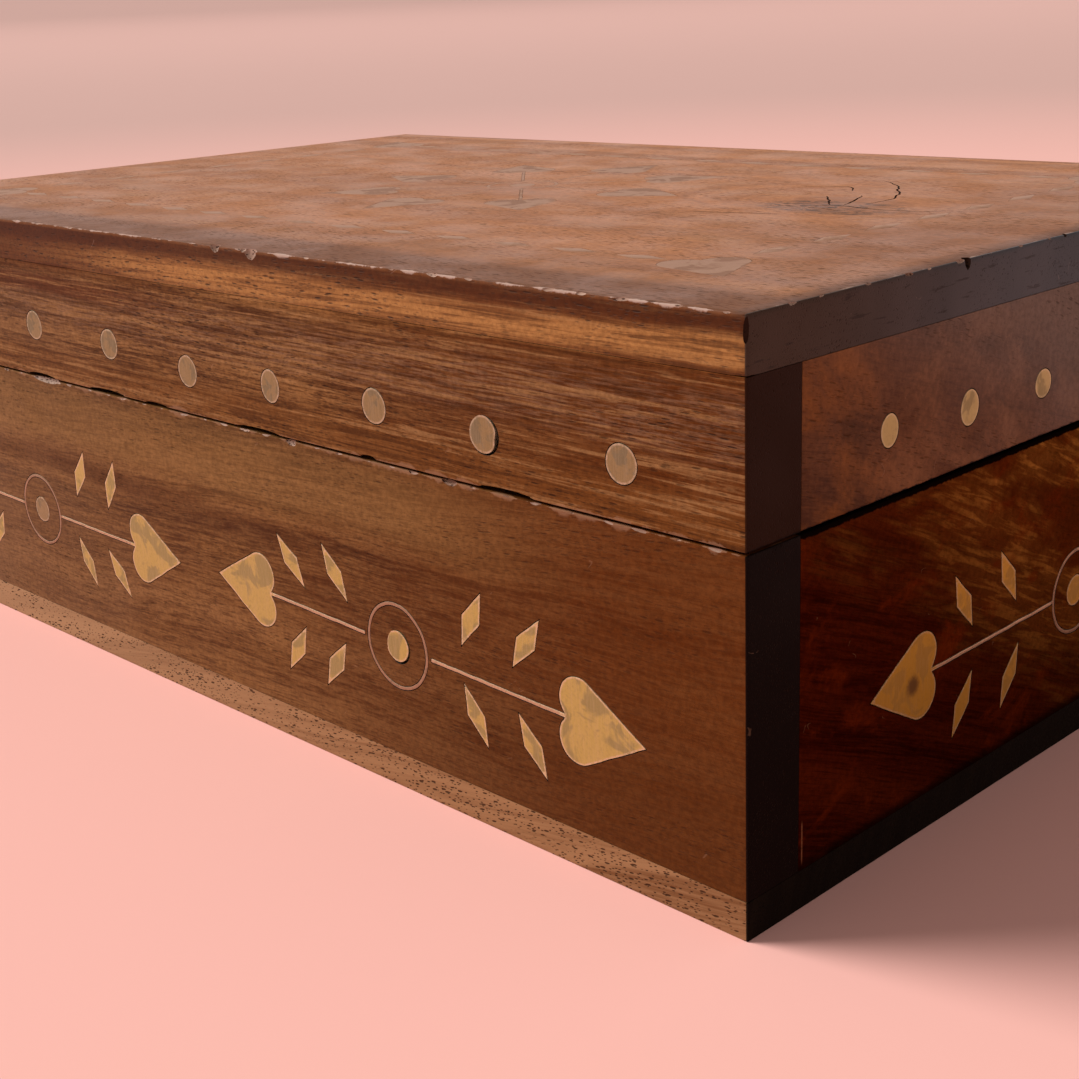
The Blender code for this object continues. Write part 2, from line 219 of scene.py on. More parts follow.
def timber_group():
    """Wood figure from a place in millimetres with X along the grain: bands, fibres, pores and glow."""
    tree, given, result = new_group("timber", "ShaderNodeTree", {
        "Vector": (VECTOR, None),
        "Pith": (VECTOR, (0.0, -40.0, -60.0)),
        "Band Width": (FLOAT, 3.0),
        "Waviness": (FLOAT, 4.0),
        "Pore Length": (FLOAT, 3.0),
        "Pore Spacing": (FLOAT, 0.46),
        "Knot": (VECTOR, (0.0, 0.0, 0.0)),
        "Knot Size": (FLOAT, 10.0),
        "Knot Rise": (FLOAT, 0.0),
    }, {"Bands": FLOAT, "Fibre": FLOAT, "Pores": FLOAT, "Glow": FLOAT, "Height": FLOAT})
    place = given["Vector"]
    slow = vector_calc(tree, "MULTIPLY", place, (0.013, 0.05, 0.05))
    drift = noise_at(tree, slow, detail=2.0).outputs["Color"]
    drift = vector_calc(tree, "SUBTRACT", drift, (0.5, 0.5, 0.5))
    drift = scaled(tree, drift, given["Waviness"])
    grain = vector_calc(tree, "ADD", place, drift)

    across = vector_calc(tree, "MULTIPLY", vector_calc(tree, "SUBTRACT", grain, given["Pith"]),
                         (0.0, 1.0, 1.0))
    from_pith = vector_calc(tree, "LENGTH", across)
    to_knot = vector_calc(tree, "MULTIPLY", vector_calc(tree, "SUBTRACT", grain, given["Knot"]),
                          (0.55, 1.0, 0.3))
    closeness = calc(tree, "DIVIDE", vector_calc(tree, "LENGTH", to_knot), given["Knot Size"])
    bulge = calc(tree, "EXPONENT", calc(tree, "MULTIPLY", calc(tree, "POWER", closeness, 2.0), -1.0))
    rings = calc(tree, "ADD", from_pith, calc(tree, "MULTIPLY", bulge, given["Knot Rise"]))
    rings = calc(tree, "DIVIDE", rings, given["Band Width"])
    bands = put(tree, "ShaderNodeTexNoise", {"W": rings, "Scale": 1.0, "Detail": 6.0, "Roughness": 0.6},
                noise_dimensions="1D").outputs[0]
    tree.links.new(bands, result["Bands"])

    fibre = noise_at(tree, vector_calc(tree, "MULTIPLY", grain, (0.07, 2.6, 2.6)), 3.0, 0.6).outputs[0]
    tree.links.new(fibre, result["Fibre"])

    size = put(tree, "ShaderNodeCombineXYZ", {0: given["Pore Length"], 1: given["Pore Spacing"],
                                              2: given["Pore Spacing"]}).outputs[0]
    cells = vector_calc(tree, "DIVIDE", grain, size)
    near = put(tree, "ShaderNodeTexVoronoi", {"Vector": cells, "Scale": 1.0, "Randomness": 1.0},
               feature="F1").outputs["Distance"]
    coarse = ramp(tree, near, 0.13, 0.27, 1.0, 0.0)
    finer = vector_calc(tree, "MULTIPLY", cells, (2.3, 1.9, 1.9))
    near = put(tree, "ShaderNodeTexVoronoi", {"Vector": finer, "Scale": 1.0, "Randomness": 1.0},
               feature="F1").outputs["Distance"]
    fine = ramp(tree, near, 0.18, 0.34, 0.55, 0.0)
    crowd = noise_at(tree, vector_calc(tree, "MULTIPLY", grain, (0.03, 0.17, 0.17)), 2.0).outputs[0]
    crowd = ramp(tree, crowd, 0.36, 0.62, 0.25, 1.0)
    pores = calc(tree, "MULTIPLY", calc(tree, "MAXIMUM", coarse, fine), crowd)
    tree.links.new(pores, result["Pores"])

    glow = noise_at(tree, vector_calc(tree, "MULTIPLY", grain, (0.04, 0.11, 0.11)), 3.0, 0.55, 1.2)
    tree.links.new(ramp(tree, glow.outputs[0], 0.45, 0.72), result["Glow"])

    height = calc(tree, "SUBTRACT", calc(tree, "MULTIPLY", fibre, 0.35), pores)
    tree.links.new(height, result["Height"])
    return tree


def arris_group():
    """Wear along the level arrises of a box between two corners, in metres; the same mask paints the highlight
    that an eased edge catches.
    """
    tree, given, result = new_group("arris_wear", "ShaderNodeTree", {
        "Vector": (VECTOR, None),
        "Low": (VECTOR, (0.0, 0.0, 0.0)),
        "High": (VECTOR, (1.0, 1.0, 1.0)),
        "Width": (FLOAT, 0.5 * MM),
    }, {"Wear": FLOAT})
    inside = vector_calc(tree, "MINIMUM", vector_calc(tree, "SUBTRACT", given["Vector"], given["Low"]),
                         vector_calc(tree, "SUBTRACT", given["High"], given["Vector"]))
    parts = put(tree, "ShaderNodeSeparateXYZ", {0: inside}).outputs
    distance = calc(tree, "MAXIMUM", parts[2], calc(tree, "MINIMUM", parts[0], parts[1]))
    ragged = noise_at(tree, scaled(tree, given["Vector"], 260.0), 6.0, 0.6).outputs[0]
    reach = calc(tree, "MULTIPLY", given["Width"], ramp(tree, ragged, 0.42, 0.70, 0.05, 1.8))
    worn = calc(tree, "DIVIDE", distance, reach)
    tree.links.new(ramp(tree, worn, 0.35, 1.0, 1.0, 0.0), result["Wear"])
    return tree


def streak_group():
    """A streak along the grain: 1 within half a width of its middle, with ragged sides."""
    tree, given, result = new_group("streak", "ShaderNodeTree", {
        "Vector": (VECTOR, None),
        "Across": (FLOAT, 0.0),
        "Middle": (FLOAT, 0.0),
        "Half Width": (FLOAT, 1.0),
        "Softness": (FLOAT, 0.5),
        "Waviness": (FLOAT, 1.0),
    }, {"Mask": FLOAT})
    slow = noise_at(tree, vector_calc(tree, "MULTIPLY", given["Vector"], (0.03, 0.09, 0.09)), 2.0)
    fast = noise_at(tree, vector_calc(tree, "MULTIPLY", given["Vector"], (0.16, 1.6, 1.6)), 2.0)
    sway = calc(tree, "SUBTRACT", calc(tree, "MULTIPLY_ADD", fast.outputs[0], 0.45, slow.outputs[0]), 0.72)
    off = calc(tree, "SUBTRACT", given["Across"], given["Middle"])
    off = calc(tree, "ABSOLUTE", calc(tree, "MULTIPLY_ADD", sway, given["Waviness"], off))
    edge = calc(tree, "ADD", given["Half Width"], given["Softness"])
    tree.links.new(ramp(tree, off, given["Half Width"], edge, 1.0, 0.0), result["Mask"])
    return tree


def scratch_group():
    """Fine scratches in a face: thin broken lines that lie at an angle to X."""
    tree, given, result = new_group("scratches", "ShaderNodeTree", {
        "Vector": (VECTOR, None),
        "Turn": (VECTOR, (0.0, 0.0, 0.3)),
        "Length": (FLOAT, 14.0),
        "Spacing": (FLOAT, 1.4),
        "Amount": (FLOAT, 0.5),
    }, {"Mask": FLOAT})
    turned = put(tree, "ShaderNodeVectorRotate", {"Vector": given["Vector"], "Rotation": given["Turn"]},
                 rotation_type="EULER_XYZ").outputs[0]
    size = put(tree, "ShaderNodeCombineXYZ", {0: given["Length"], 1: given["Spacing"],
                                              2: given["Spacing"]}).outputs[0]
    field = noise_at(tree, vector_calc(tree, "DIVIDE", turned, size), 1.0).outputs[0]
    line = ramp(tree, calc(tree, "ABSOLUTE", calc(tree, "SUBTRACT", field, 0.5)), 0.0, 0.011, 1.0, 0.0)
    broken = noise_at(tree, scaled(tree, given["Vector"], 0.23), 3.0).outputs[0]
    threshold = calc(tree, "SUBTRACT", 0.85, calc(tree, "MULTIPLY", given["Amount"], 0.5))
    there = calc(tree, "GREATER_THAN", broken, threshold)
    tree.links.new(calc(tree, "MULTIPLY", line, there), result["Mask"])
    return tree


def tarnish_group():
    """Patches, mottling and fine file marks on brass, from a place in millimetres."""
    tree, given, result = new_group("tarnish", "ShaderNodeTree", {
        "Vector": (VECTOR, None),
        "Patch Size": (FLOAT, 4.0),
        "Amount": (FLOAT, 0.5),
        "File Marks": (FLOAT, 0.5),
    }, {"Patches": FLOAT, "Mottle": FLOAT, "Marks": FLOAT, "Height": FLOAT})
    place = given["Vector"]
    broad = noise_at(tree, vector_calc(tree, "DIVIDE", place, given["Patch Size"]), 3.0, 0.55, 0.6).outputs[0]
    low = calc(tree, "SUBTRACT", 0.72, calc(tree, "MULTIPLY", given["Amount"], 0.45))
    patches = ramp(tree, broad, low, calc(tree, "ADD", low, 0.10))
    tree.links.new(patches, result["Patches"])
    mottle = noise_at(tree, scaled(tree, place, 2.2), 4.0, 0.7).outputs[0]
    tree.links.new(mottle, result["Mottle"])
    filed = noise_at(tree, vector_calc(tree, "MULTIPLY", place, (7.0, 7.0, 0.45)), 2.0, 0.6).outputs[0]
    marks = calc(tree, "MULTIPLY", ramp(tree, filed, 0.42, 0.64), given["File Marks"])
    tree.links.new(marks, result["Marks"])
    height = calc(tree, "MULTIPLY_ADD", marks, -0.5, calc(tree, "MULTIPLY", mottle, 0.6))
    tree.links.new(height, result["Height"])
    return tree


TIMBER = timber_group()
ARRIS_GROUP = arris_group()
STREAK = streak_group()
SCRATCHES = scratch_group()
TARNISH = tarnish_group()


# Materials

def new_material(name):
    material = bpy.data.materials.new(name)
    material.use_nodes = True
    return material, material.node_tree, material.node_tree.nodes["Principled BSDF"]


GRAIN_TURNS = {"X": (0.0, 0.0, 0.0), "Y": (0.0, 0.0, -math.pi / 2)}


def wood_material(name, grain, shift, low, high, tones, timber, features=None, roughness=0.30,
                  tilt=0.0, worn_and_highlight_width=0.5 * MM, gloss_break=0.16, shine=0.05, flecks=0.5, ends=None, dirt=0.0):
    """A wooden board's finish.

    grain names the axis that the grain follows, shift moves the figure in millimetres, low and high are the
    corners of the box whose arrises are worn and painted with a highlight, and tilt turns the grain in its face,
    in radians. tones are dark, middle, light, glow, pore, end and worn, the last the colour of worn arrises and
    of their painted highlight.
    features adds what only this board has to its colour. dirt is how much painted shade the seam between base
    and lid gets on the board's faces; its ends always get it.
    """
    material, tree, shader = new_material(name)
    texture = put(tree, "ShaderNodeTexCoord").outputs
    turn = list(GRAIN_TURNS[grain])
    turn[1 if grain == "X" else 0] += tilt
    place = put(tree, "ShaderNodeMapping", {"Vector": texture["Object"], "Location": shift,
                                            "Rotation": turn, "Scale": (1000.0,) * 3}).outputs[0]
    plain = put(tree, "ShaderNodeMapping", {"Vector": texture["Object"],
                                            "Scale": (1000.0,) * 3}).outputs[0]
    figure = use_group(tree, TIMBER, {"Vector": place, **timber})

    bands = put(tree, "ShaderNodeValToRGB", {0: figure["Bands"]})
    stops = bands.color_ramp.elements
    stops[0].position, stops[0].color = 0.38, tones["dark"]
    stops[1].position, stops[1].color = 0.64, tones["light"]
    stops.new(0.50).color = tones["middle"]
    base = bands.outputs[0]
    base = mix(tree, ramp(tree, figure["Fibre"], 0.40, 0.66, 0.0, 0.55), base, tones["light"])
    base = mix(tree, ramp(tree, figure["Fibre"], 0.46, 0.33, 0.0, 0.50), base, tones["dark"])
    base = mix(tree, calc(tree, "MULTIPLY", figure["Glow"], tones["glow_share"]), base, tones["glow"])
    dashes = noise_at(tree, vector_calc(tree, "MULTIPLY", place, (0.42, 4.6, 4.6)), 3.0, 0.6).outputs[0]
    base = mix(tree, ramp(tree, dashes, 0.50, 0.62, 0.0, flecks), base, tones["dark"])
    base = mix(tree, ramp(tree, dashes, 0.47, 0.36, 0.0, 0.7 * flecks), base, tones["light"])
    if features:
        base = features(tree, plain, base)
    specks = noise_at(tree, scaled(tree, plain, 1.3), 4.0, 0.7).outputs[0]
    base = mix(tree, 1.0, base, mix(tree, ramp(tree, specks, 0.3, 0.7), colour(0.80, 0.78, 0.76),
                                    colour(1.14, 1.14, 1.14)), "MULTIPLY")
    base = mix(tree, calc(tree, "MULTIPLY", figure["Pores"], tones["pore_share"]), base, tones["pore"])

    end = box_end(tree, plain) if grain == "X" else 0.0
    grain_end = ends(tree, plain) if ends else tones["end"]
    base = mix(tree, end, base, mix(tree, calc(tree, "MULTIPLY", figure["Pores"], 0.5), grain_end,
                                    tones["pore"]))
    # painted shade: the seam between base and lid is painted near black, always on the board's ends and on its
    # faces as far as dirt says
    painted_seam = calc(tree, "MULTIPLY", painted_seam_shade(tree, plain), calc(tree, "MAXIMUM", end, dirt))
    base = mix(tree, painted_seam, base, colour(0.004, 0.0015, 0.001))

    wear = use_group(tree, ARRIS_GROUP, {"Vector": texture["Object"], "Low": low, "High": high,
                                         "Width": worn_and_highlight_width})["Wear"]
    # painted highlight and wear: worn arrises take the worn colour, partly the lighter raw wood and partly the
    # highlight an eased edge catches
    worn = calc(tree, "MULTIPLY", calc(tree, "MULTIPLY", wear, tones["worn_share"]),
                calc(tree, "SUBTRACT", 1.0, end))
    base = mix(tree, worn, base, tones["worn"])
    scratches = use_group(tree, SCRATCHES, {"Vector": plain, "Turn": (0.2, 0.5, 0.3), "Length": 40.0,
                                            "Spacing": 2.4, "Amount": 0.36})["Mask"]
    base = mix(tree, calc(tree, "MULTIPLY", scratches, 0.20), base, tones["worn"])
    tree.links.new(base, shader.inputs["Base Color"])

    handled = noise_at(tree, scaled(tree, plain, 0.11), 3.0).outputs[0]
    rough = ramp(tree, handled, 0.3, 0.7, roughness, roughness + gloss_break)
    rough = calc(tree, "MULTIPLY_ADD", figure["Pores"], 0.25, rough)
    rough = calc(tree, "MULTIPLY_ADD", wear, 0.12, rough)
    tree.links.new(calc(tree, "MINIMUM", rough, 1.0), shader.inputs["Roughness"])
    shader.inputs["Specular IOR Level"].default_value = shine

    height = calc(tree, "MULTIPLY_ADD", scratches, -0.5, figure["Height"])
    bump = put(tree, "ShaderNodeBump", {"Height": height, "Strength": 0.55, "Distance": 0.06 * MM})
    tree.links.new(bump.outputs[0], shader.inputs["Normal"])
    return material


def raw_material(name, light, dark, pore, pale, dark_ends=0.0):
    """Wood that was never polished, or was broken open: matt, with short dark pores, paler to the left."""
    material, tree, shader = new_material(name)
    texture = put(tree, "ShaderNodeTexCoord").outputs
    place = put(tree, "ShaderNodeMapping", {"Vector": texture["Object"], "Rotation": (0.0, 0.16, 0.0),
                                            "Scale": (1000.0,) * 3}).outputs[0]
    figure = use_group(tree, TIMBER, {"Vector": place, "Pith": (0.0, 30.0, -45.0), "Band Width": 2.2,
                                      "Waviness": 5.0, "Pore Length": 1.9, "Pore Spacing": 0.50})
    base = mix(tree, ramp(tree, figure["Bands"], 0.35, 0.65), dark, light)
    base = mix(tree, ramp(tree, figure["Fibre"], 0.32, 0.66, 0.0, 0.6), base, light)
    x = height_of(tree, place)[0]
    base = mix(tree, ramp(tree, x, 70.0, -80.0, 0.0, 0.75), base, pale)
    base = mix(tree, ramp(tree, figure["Pores"], 0.06, 0.42, 0.0, 0.85), base, pore)
    plain = scaled(tree, texture["Object"], 1000.0)
    base = laid_over(tree, base, box_end(tree, plain), dark_ends, colour(0.0012, 0.0008, 0.0006))
    tree.links.new(base, shader.inputs["Base Color"])
    shader.inputs["Specular IOR Level"].default_value = 0.05
    tree.links.new(ramp(tree, figure["Fibre"], 0.3, 0.7, 0.55, 0.75), shader.inputs["Roughness"])
    bump = put(tree, "ShaderNodeBump", {"Height": figure["Height"], "Strength": 0.8,
                                        "Distance": 0.10 * MM})
    tree.links.new(bump.outputs[0], shader.inputs["Normal"])
    return material


def brass_material(name, bright, dull, rim, amount, patch_size=4.0, metallic=0.9, roughness=0.36,
                   file_marks=0.5, stain=None):
    """Old brass: bright metal under dull patches, a lighter rim, and file marks. stain is a place and a size."""
    material, tree, shader = new_material(name)
    texture = put(tree, "ShaderNodeTexCoord").outputs
    place = put(tree, "ShaderNodeMapping", {"Vector": texture["Object"],
                                            "Scale": (1000.0,) * 3}).outputs[0]
    old = use_group(tree, TARNISH, {"Vector": place, "Patch Size": patch_size, "Amount": amount,
                                    "File Marks": file_marks})
    base = mix(tree, calc(tree, "MULTIPLY", old["Patches"], 0.75), bright, dull)
    base = mix(tree, ramp(tree, old["Mottle"], 0.45, 0.72, 0.0, 0.35), base, dull)
    base = mix(tree, calc(tree, "MULTIPLY", old["Marks"], 0.30), base, rim)
    if stain:
        middle, radius = stain
        away = vector_calc(tree, "DISTANCE", place, middle)
        away = calc(tree, "MULTIPLY_ADD", old["Mottle"], 1.2, away)
        dark = ramp(tree, away, radius, radius + 1.2, 0.8, 0.0)
        base = mix(tree, dark, base, colour(0.10, 0.045, 0.02))
    edge = put(tree, "ShaderNodeAttribute", attribute_name="inside").outputs["Fac"]
    edge = calc(tree, "MULTIPLY", ramp(tree, edge, 0.12, 0.36, 1.0, 0.0),
                ramp(tree, old["Mottle"], 0.38, 0.56, 0.25, 1.0))
    base = mix(tree, edge, base, rim)
    tree.links.new(base, shader.inputs["Base Color"])
    shader.inputs["Metallic"].default_value = metallic
    rough = calc(tree, "MULTIPLY_ADD", old["Patches"], 0.14, roughness)
    rough = calc(tree, "MULTIPLY_ADD", old["Mottle"], 0.10, rough)
    tree.links.new(rough, shader.inputs["Roughness"])
    bump = put(tree, "ShaderNodeBump", {"Height": old["Height"], "Strength": 0.35,
                                        "Distance": 0.03 * MM})
    tree.links.new(bump.outputs[0], shader.inputs["Normal"])
    return material


def glue_material():
    """Old glue and dirt in the pockets round the brass."""
    material, tree, shader = new_material("dark_glue")
    texture = put(tree, "ShaderNodeTexCoord").outputs
    dirt = noise_at(tree, scaled(tree, texture["Object"], 2500.0), 3.0).outputs[0]
    base = mix(tree, ramp(tree, dirt, 0.35, 0.65), colour(0.010, 0.006, 0.004), colour(0.035, 0.018, 0.010))
    tree.links.new(base, shader.inputs["Base Color"])
    tree.links.new(ramp(tree, dirt, 0.3, 0.7, 0.6, 0.9), shader.inputs["Roughness"])
    return material


BASE_LOW, BASE_HIGH = BOX_LOW, Vector((BOX_HIGH.x, BOX_HIGH.y, BASE_TOP))
LID_LOW, LID_HIGH = Vector((BOX_LOW.x, BOX_LOW.y, LID_BOTTOM)), BOX_HIGH

# worn is the colour of worn arrises, and also of their painted highlight
BROWN = {
    "dark": colour(0.058, 0.018, 0.005), "middle": colour(0.135, 0.054, 0.016),
    "light": colour(0.240, 0.115, 0.042), "glow": colour(0.340, 0.165, 0.052), "glow_share": 0.35,
    "pore": colour(0.022, 0.007, 0.002), "pore_share": 0.80,
    "end": colour(0.012, 0.003, 0.0015), "worn": colour(0.36, 0.20, 0.12), "worn_share": 0.45,
}


def tones(**changes):
    return {**BROWN, **changes}


def height_of(tree, place):
    return put(tree, "ShaderNodeSeparateXYZ", {0: place}).outputs


def box_end(tree, place):
    """Where the boards along X show their ends, on the left and right sides of the box."""
    x = calc(tree, "ABSOLUTE", height_of(tree, place)[0])
    return ramp(tree, x, BOX_HIGH.x / MM - 0.30, BOX_HIGH.x / MM - 0.16)


def streak_of(tree, place, across, middle, half_width, softness, waviness):
    return use_group(tree, STREAK, {"Vector": place, "Across": across, "Middle": middle,
                                    "Half Width": half_width, "Softness": softness,
                                    "Waviness": waviness})["Mask"]


def laid_over(tree, base, mask, share, tint):
    return mix(tree, calc(tree, "MULTIPLY", mask, share), base, tint)


def redder_to_the_right(tree, place, base):
    """The front's boards are greyer at their left end and redder at their right end."""
    x = height_of(tree, place)[0]
    sway = noise_at(tree, scaled(tree, place, 0.03), 2.0).outputs[0]
    x = calc(tree, "MULTIPLY_ADD", sway, 60.0, x)
    base = mix(tree, ramp(tree, x, 40.0, 125.0, 0.0, 0.78), base, colour(0.098, 0.023, 0.0020))
    return mix(tree, ramp(tree, x, 30.0, -60.0, 0.0, 0.58), base, colour(0.225, 0.128, 0.066))


def base_front_streaks(tree, place, base):
    """Along the base's front: a pale band at its top, a dark one under it, and a dark lower right end."""
    x, _, z = height_of(tree, place)
    base = redder_to_the_right(tree, place, base)
    pale = calc(tree, "MULTIPLY", streak_of(tree, place, z, 37.5, 2.5, 4.5, 5.0), ramp(tree, x, 80.0, 45.0))
    base = laid_over(tree, base, pale, 0.38, colour(0.265, 0.145, 0.050))
    under = calc(tree, "MULTIPLY", streak_of(tree, place, z, 29.0, 0.6, 2.6, 5.0), ramp(tree, x, 45.0, 0.0))
    base = laid_over(tree, base, under, 0.50, colour(0.085, 0.030, 0.010))
    low = calc(tree, "MULTIPLY", ramp(tree, x, 15.0, 60.0), ramp(tree, z, 26.0, 12.0))
    return laid_over(tree, base, low, 0.34, colour(0.062, 0.018, 0.003))


def lid_front_streaks(tree, place, base):
    """Bands along the lid's front, which run on over the joint under the top board."""
    x, y, z = height_of(tree, place)
    base = redder_to_the_right(tree, place, base)
    left = ramp(tree, x, 10.0, -20.0)
    fine = noise_at(tree, vector_calc(tree, "MULTIPLY", place, (0.25, 4.0, 4.0)), 3.0, 0.6).outputs[0]
    grey = streak_of(tree, place, z, 54.5, 1.6, 3.4, 3.0)
    base = laid_over(tree, base, calc(tree, "MULTIPLY", grey, ramp(tree, fine, 0.42, 0.60)), 0.50,
                     colour(0.225, 0.125, 0.075))
    band = calc(tree, "MULTIPLY", streak_of(tree, place, z, 56.9, 0.5, 1.5, 2.0), left)
    base = laid_over(tree, base, band, 0.75, colour(0.085, 0.020, 0.005))
    low = streak_of(tree, place, z, 44.5, 1.2, 2.2, 2.5)
    base = laid_over(tree, base, low, 0.45, colour(0.190, 0.072, 0.016))
    golden = streak_of(tree, place, z, 61.4, 0.4, 2.2, 3.6)
    leaning = put(tree, "ShaderNodeMapping", {"Vector": place, "Rotation": (0.0, 0.035, 0.0),
                                              "Scale": (0.045, 1.5, 1.5)}).outputs[0]
    strands = noise_at(tree, leaning, 6.0, 0.68, 0.5).outputs[0]
    base = mix(tree, ramp(tree, strands, 0.51, 0.61, 0.0, 0.62), base, colour(0.055, 0.017, 0.004))
    base = mix(tree, ramp(tree, strands, 0.49, 0.36, 0.0, 0.70), base, colour(0.320, 0.168, 0.068))
    golden = calc(tree, "MULTIPLY", golden, ramp(tree, strands, 0.62, 0.44, 0.25, 1.0))
    upper_left = calc(tree, "MULTIPLY", ramp(tree, z, 58.0, 60.5), ramp(tree, x, 12.0, -22.0))
    base = laid_over(tree, base, upper_left, 0.88, colour(0.076, 0.017, 0.0015))
    golden = calc(tree, "MULTIPLY", golden, ramp(tree, x, -40.0, 10.0, 0.10, 1.0))
    base = laid_over(tree, base, golden, 0.90, colour(0.400, 0.190, 0.060))
    dark = ramp(tree, calc(tree, "MULTIPLY_ADD", fine, 1.6, z), 63.9, 65.4)
    return laid_over(tree, base, dark, 0.82, colour(0.060, 0.014, 0.002))


def knot_marks(tree, place, base):
    """Short dark cracks and a dark bruise round the knot of the top board."""
    away = vector_calc(tree, "SUBTRACT", place, (62.0, 1.5, 66.0))
    away = vector_calc(tree, "LENGTH", vector_calc(tree, "MULTIPLY", away, (0.07, 0.13, 0.0)))
    close = ramp(tree, away, 0.25, 1.05, 1.0, 0.0)
    lines = noise_at(tree, vector_calc(tree, "MULTIPLY", place, (0.16, 0.44, 0.3)), 4.0, 0.6, 0.8).outputs[0]
    lines = ramp(tree, calc(tree, "ABSOLUTE", calc(tree, "SUBTRACT", lines, 0.5)), 0.010, 0.045, 1.0, 0.0)
    base = laid_over(tree, base, close, 0.40, colour(0.130, 0.046, 0.017))
    return laid_over(tree, base, calc(tree, "MULTIPLY", ramp(tree, close, 0.05, 0.45), lines), 0.95,
                     colour(0.030, 0.009, 0.003))


def lid_top_features(tree, place, base):
    """The lid front's bands run on over the top board's front edge; its top has streaks, painted shade towards
    its front, where it catches less sheen, a darker right end, and a smooth, darker rim: a front strip painted
    darker for its own colour and for the sheen it lacks, and painted shade along its right edge.
    """
    x, y, z = height_of(tree, place)
    on_top = ramp(tree, z, 65.4, 65.75)
    side = lid_front_streaks(tree, place, mix(tree, 0.65, base, colour(0.120, 0.046, 0.013)))
    # painted shade: the top darkens towards its front, where it catches less sheen, and it is also darker
    # towards its right end
    darker_front_and_right = calc(tree, "MAXIMUM", ramp(tree, y, -60.0, -34.0, 0.66, 0.0), ramp(tree, x, 64.0, 90.0, 0.0, 0.50))
    base = mix(tree, darker_front_and_right, base, colour(0.150, 0.050, 0.015))
    top = laid_over(tree, base, streak_of(tree, place, y, -52.5, 0.8, 1.8, 3.0), 0.45,
                    colour(0.32, 0.120, 0.030))
    # painted darker: a front strip, partly its own darker colour and partly painted shade for the sheen it
    # lacks, and painted shade along the right edge
    front_strip_without_sheen = ramp(tree, y, -57.0, -55.0, 0.48, 0.0)
    right_edge_shade = ramp(tree, x, 96.0, 99.5, 0.0, 0.85)
    top = mix(tree, calc(tree, "MAXIMUM", front_strip_without_sheen, right_edge_shade), top, colour(0.085, 0.026, 0.006))
    top = knot_marks(tree, place, top)
    return mix(tree, on_top, side, top)


def painted_seam_shade(tree, place):
    """Where the seam between base and lid is painted black: painted shade of the gap, widened over the faces
    beside it.
    """
    z = height_of(tree, place)[2]
    ragged = noise_at(tree, scaled(tree, place, 0.8), 4.0, 0.65).outputs[0]
    off = calc(tree, "ABSOLUTE", calc(tree, "SUBTRACT", z, BASE_TOP / MM - 0.05))
    off = calc(tree, "MULTIPLY_ADD", calc(tree, "SUBTRACT", ragged, 0.5), 0.7, off)
    return ramp(tree, off, 0.42, 0.62, 1.0, 0.0)


def end_grain_with_painted_sheen(tree, place):
    """The top board's polished end grain: brown near the front, and a painted slate-grey sheen further back, the
    reflection of a lit floor.
    """
    y = height_of(tree, place)[1]
    # painted reflection: the end grain turns from brown to slate grey towards the back
    base = mix(tree, ramp(tree, y, -60.0, -5.0), colour(0.050, 0.029, 0.019), colour(0.068, 0.080, 0.094))
    cracks = noise_at(tree, vector_calc(tree, "MULTIPLY", place, (1.0, 0.20, 1.5)), 3.0, 0.6).outputs[0]
    return laid_over(tree, base, ramp(tree, cracks, 0.60, 0.68), 0.55, colour(0.010, 0.006, 0.005))


def golden_streaks(tree, place, turn, size):
    turned = put(tree, "ShaderNodeMapping", {"Vector": place, "Rotation": (turn, 0.0, 0.0)}).outputs[0]
    streaks = vector_calc(tree, "MULTIPLY", turned, size)
    return noise_at(tree, streaks, 4.0, 0.6, 0.5).outputs[0]


def lid_side_features(tree, place, base):
    """Brown cloudy gleams on the lid's sides, and a painted grey sheen towards the back and top, the reflection
    of a lit floor.
    """
    x, y, z = height_of(tree, place)
    cloud = ramp(tree, golden_streaks(tree, place, 0.6, (0.1, 0.10, 0.17)), 0.40, 0.72)
    near = ramp(tree, y, -30.0, -55.0)
    warm = mix(tree, near, colour(0.230, 0.100, 0.042), colour(0.255, 0.085, 0.013))
    base = laid_over(tree, base, cloud, 0.80, warm)
    dark = ramp(tree, golden_streaks(tree, place, 0.5, (0.1, 0.08, 0.20)), 0.46, 0.34)
    base = laid_over(tree, base, dark, 0.60, colour(0.050, 0.016, 0.004))
    # painted reflection: a grey sheen laid over the wood, growing towards the back and the top
    grey = ramp(tree, calc(tree, "MULTIPLY_ADD", z, 2.2, y), 70.0, 125.0)
    return laid_over(tree, base, grey, 0.80, colour(0.175, 0.135, 0.112))


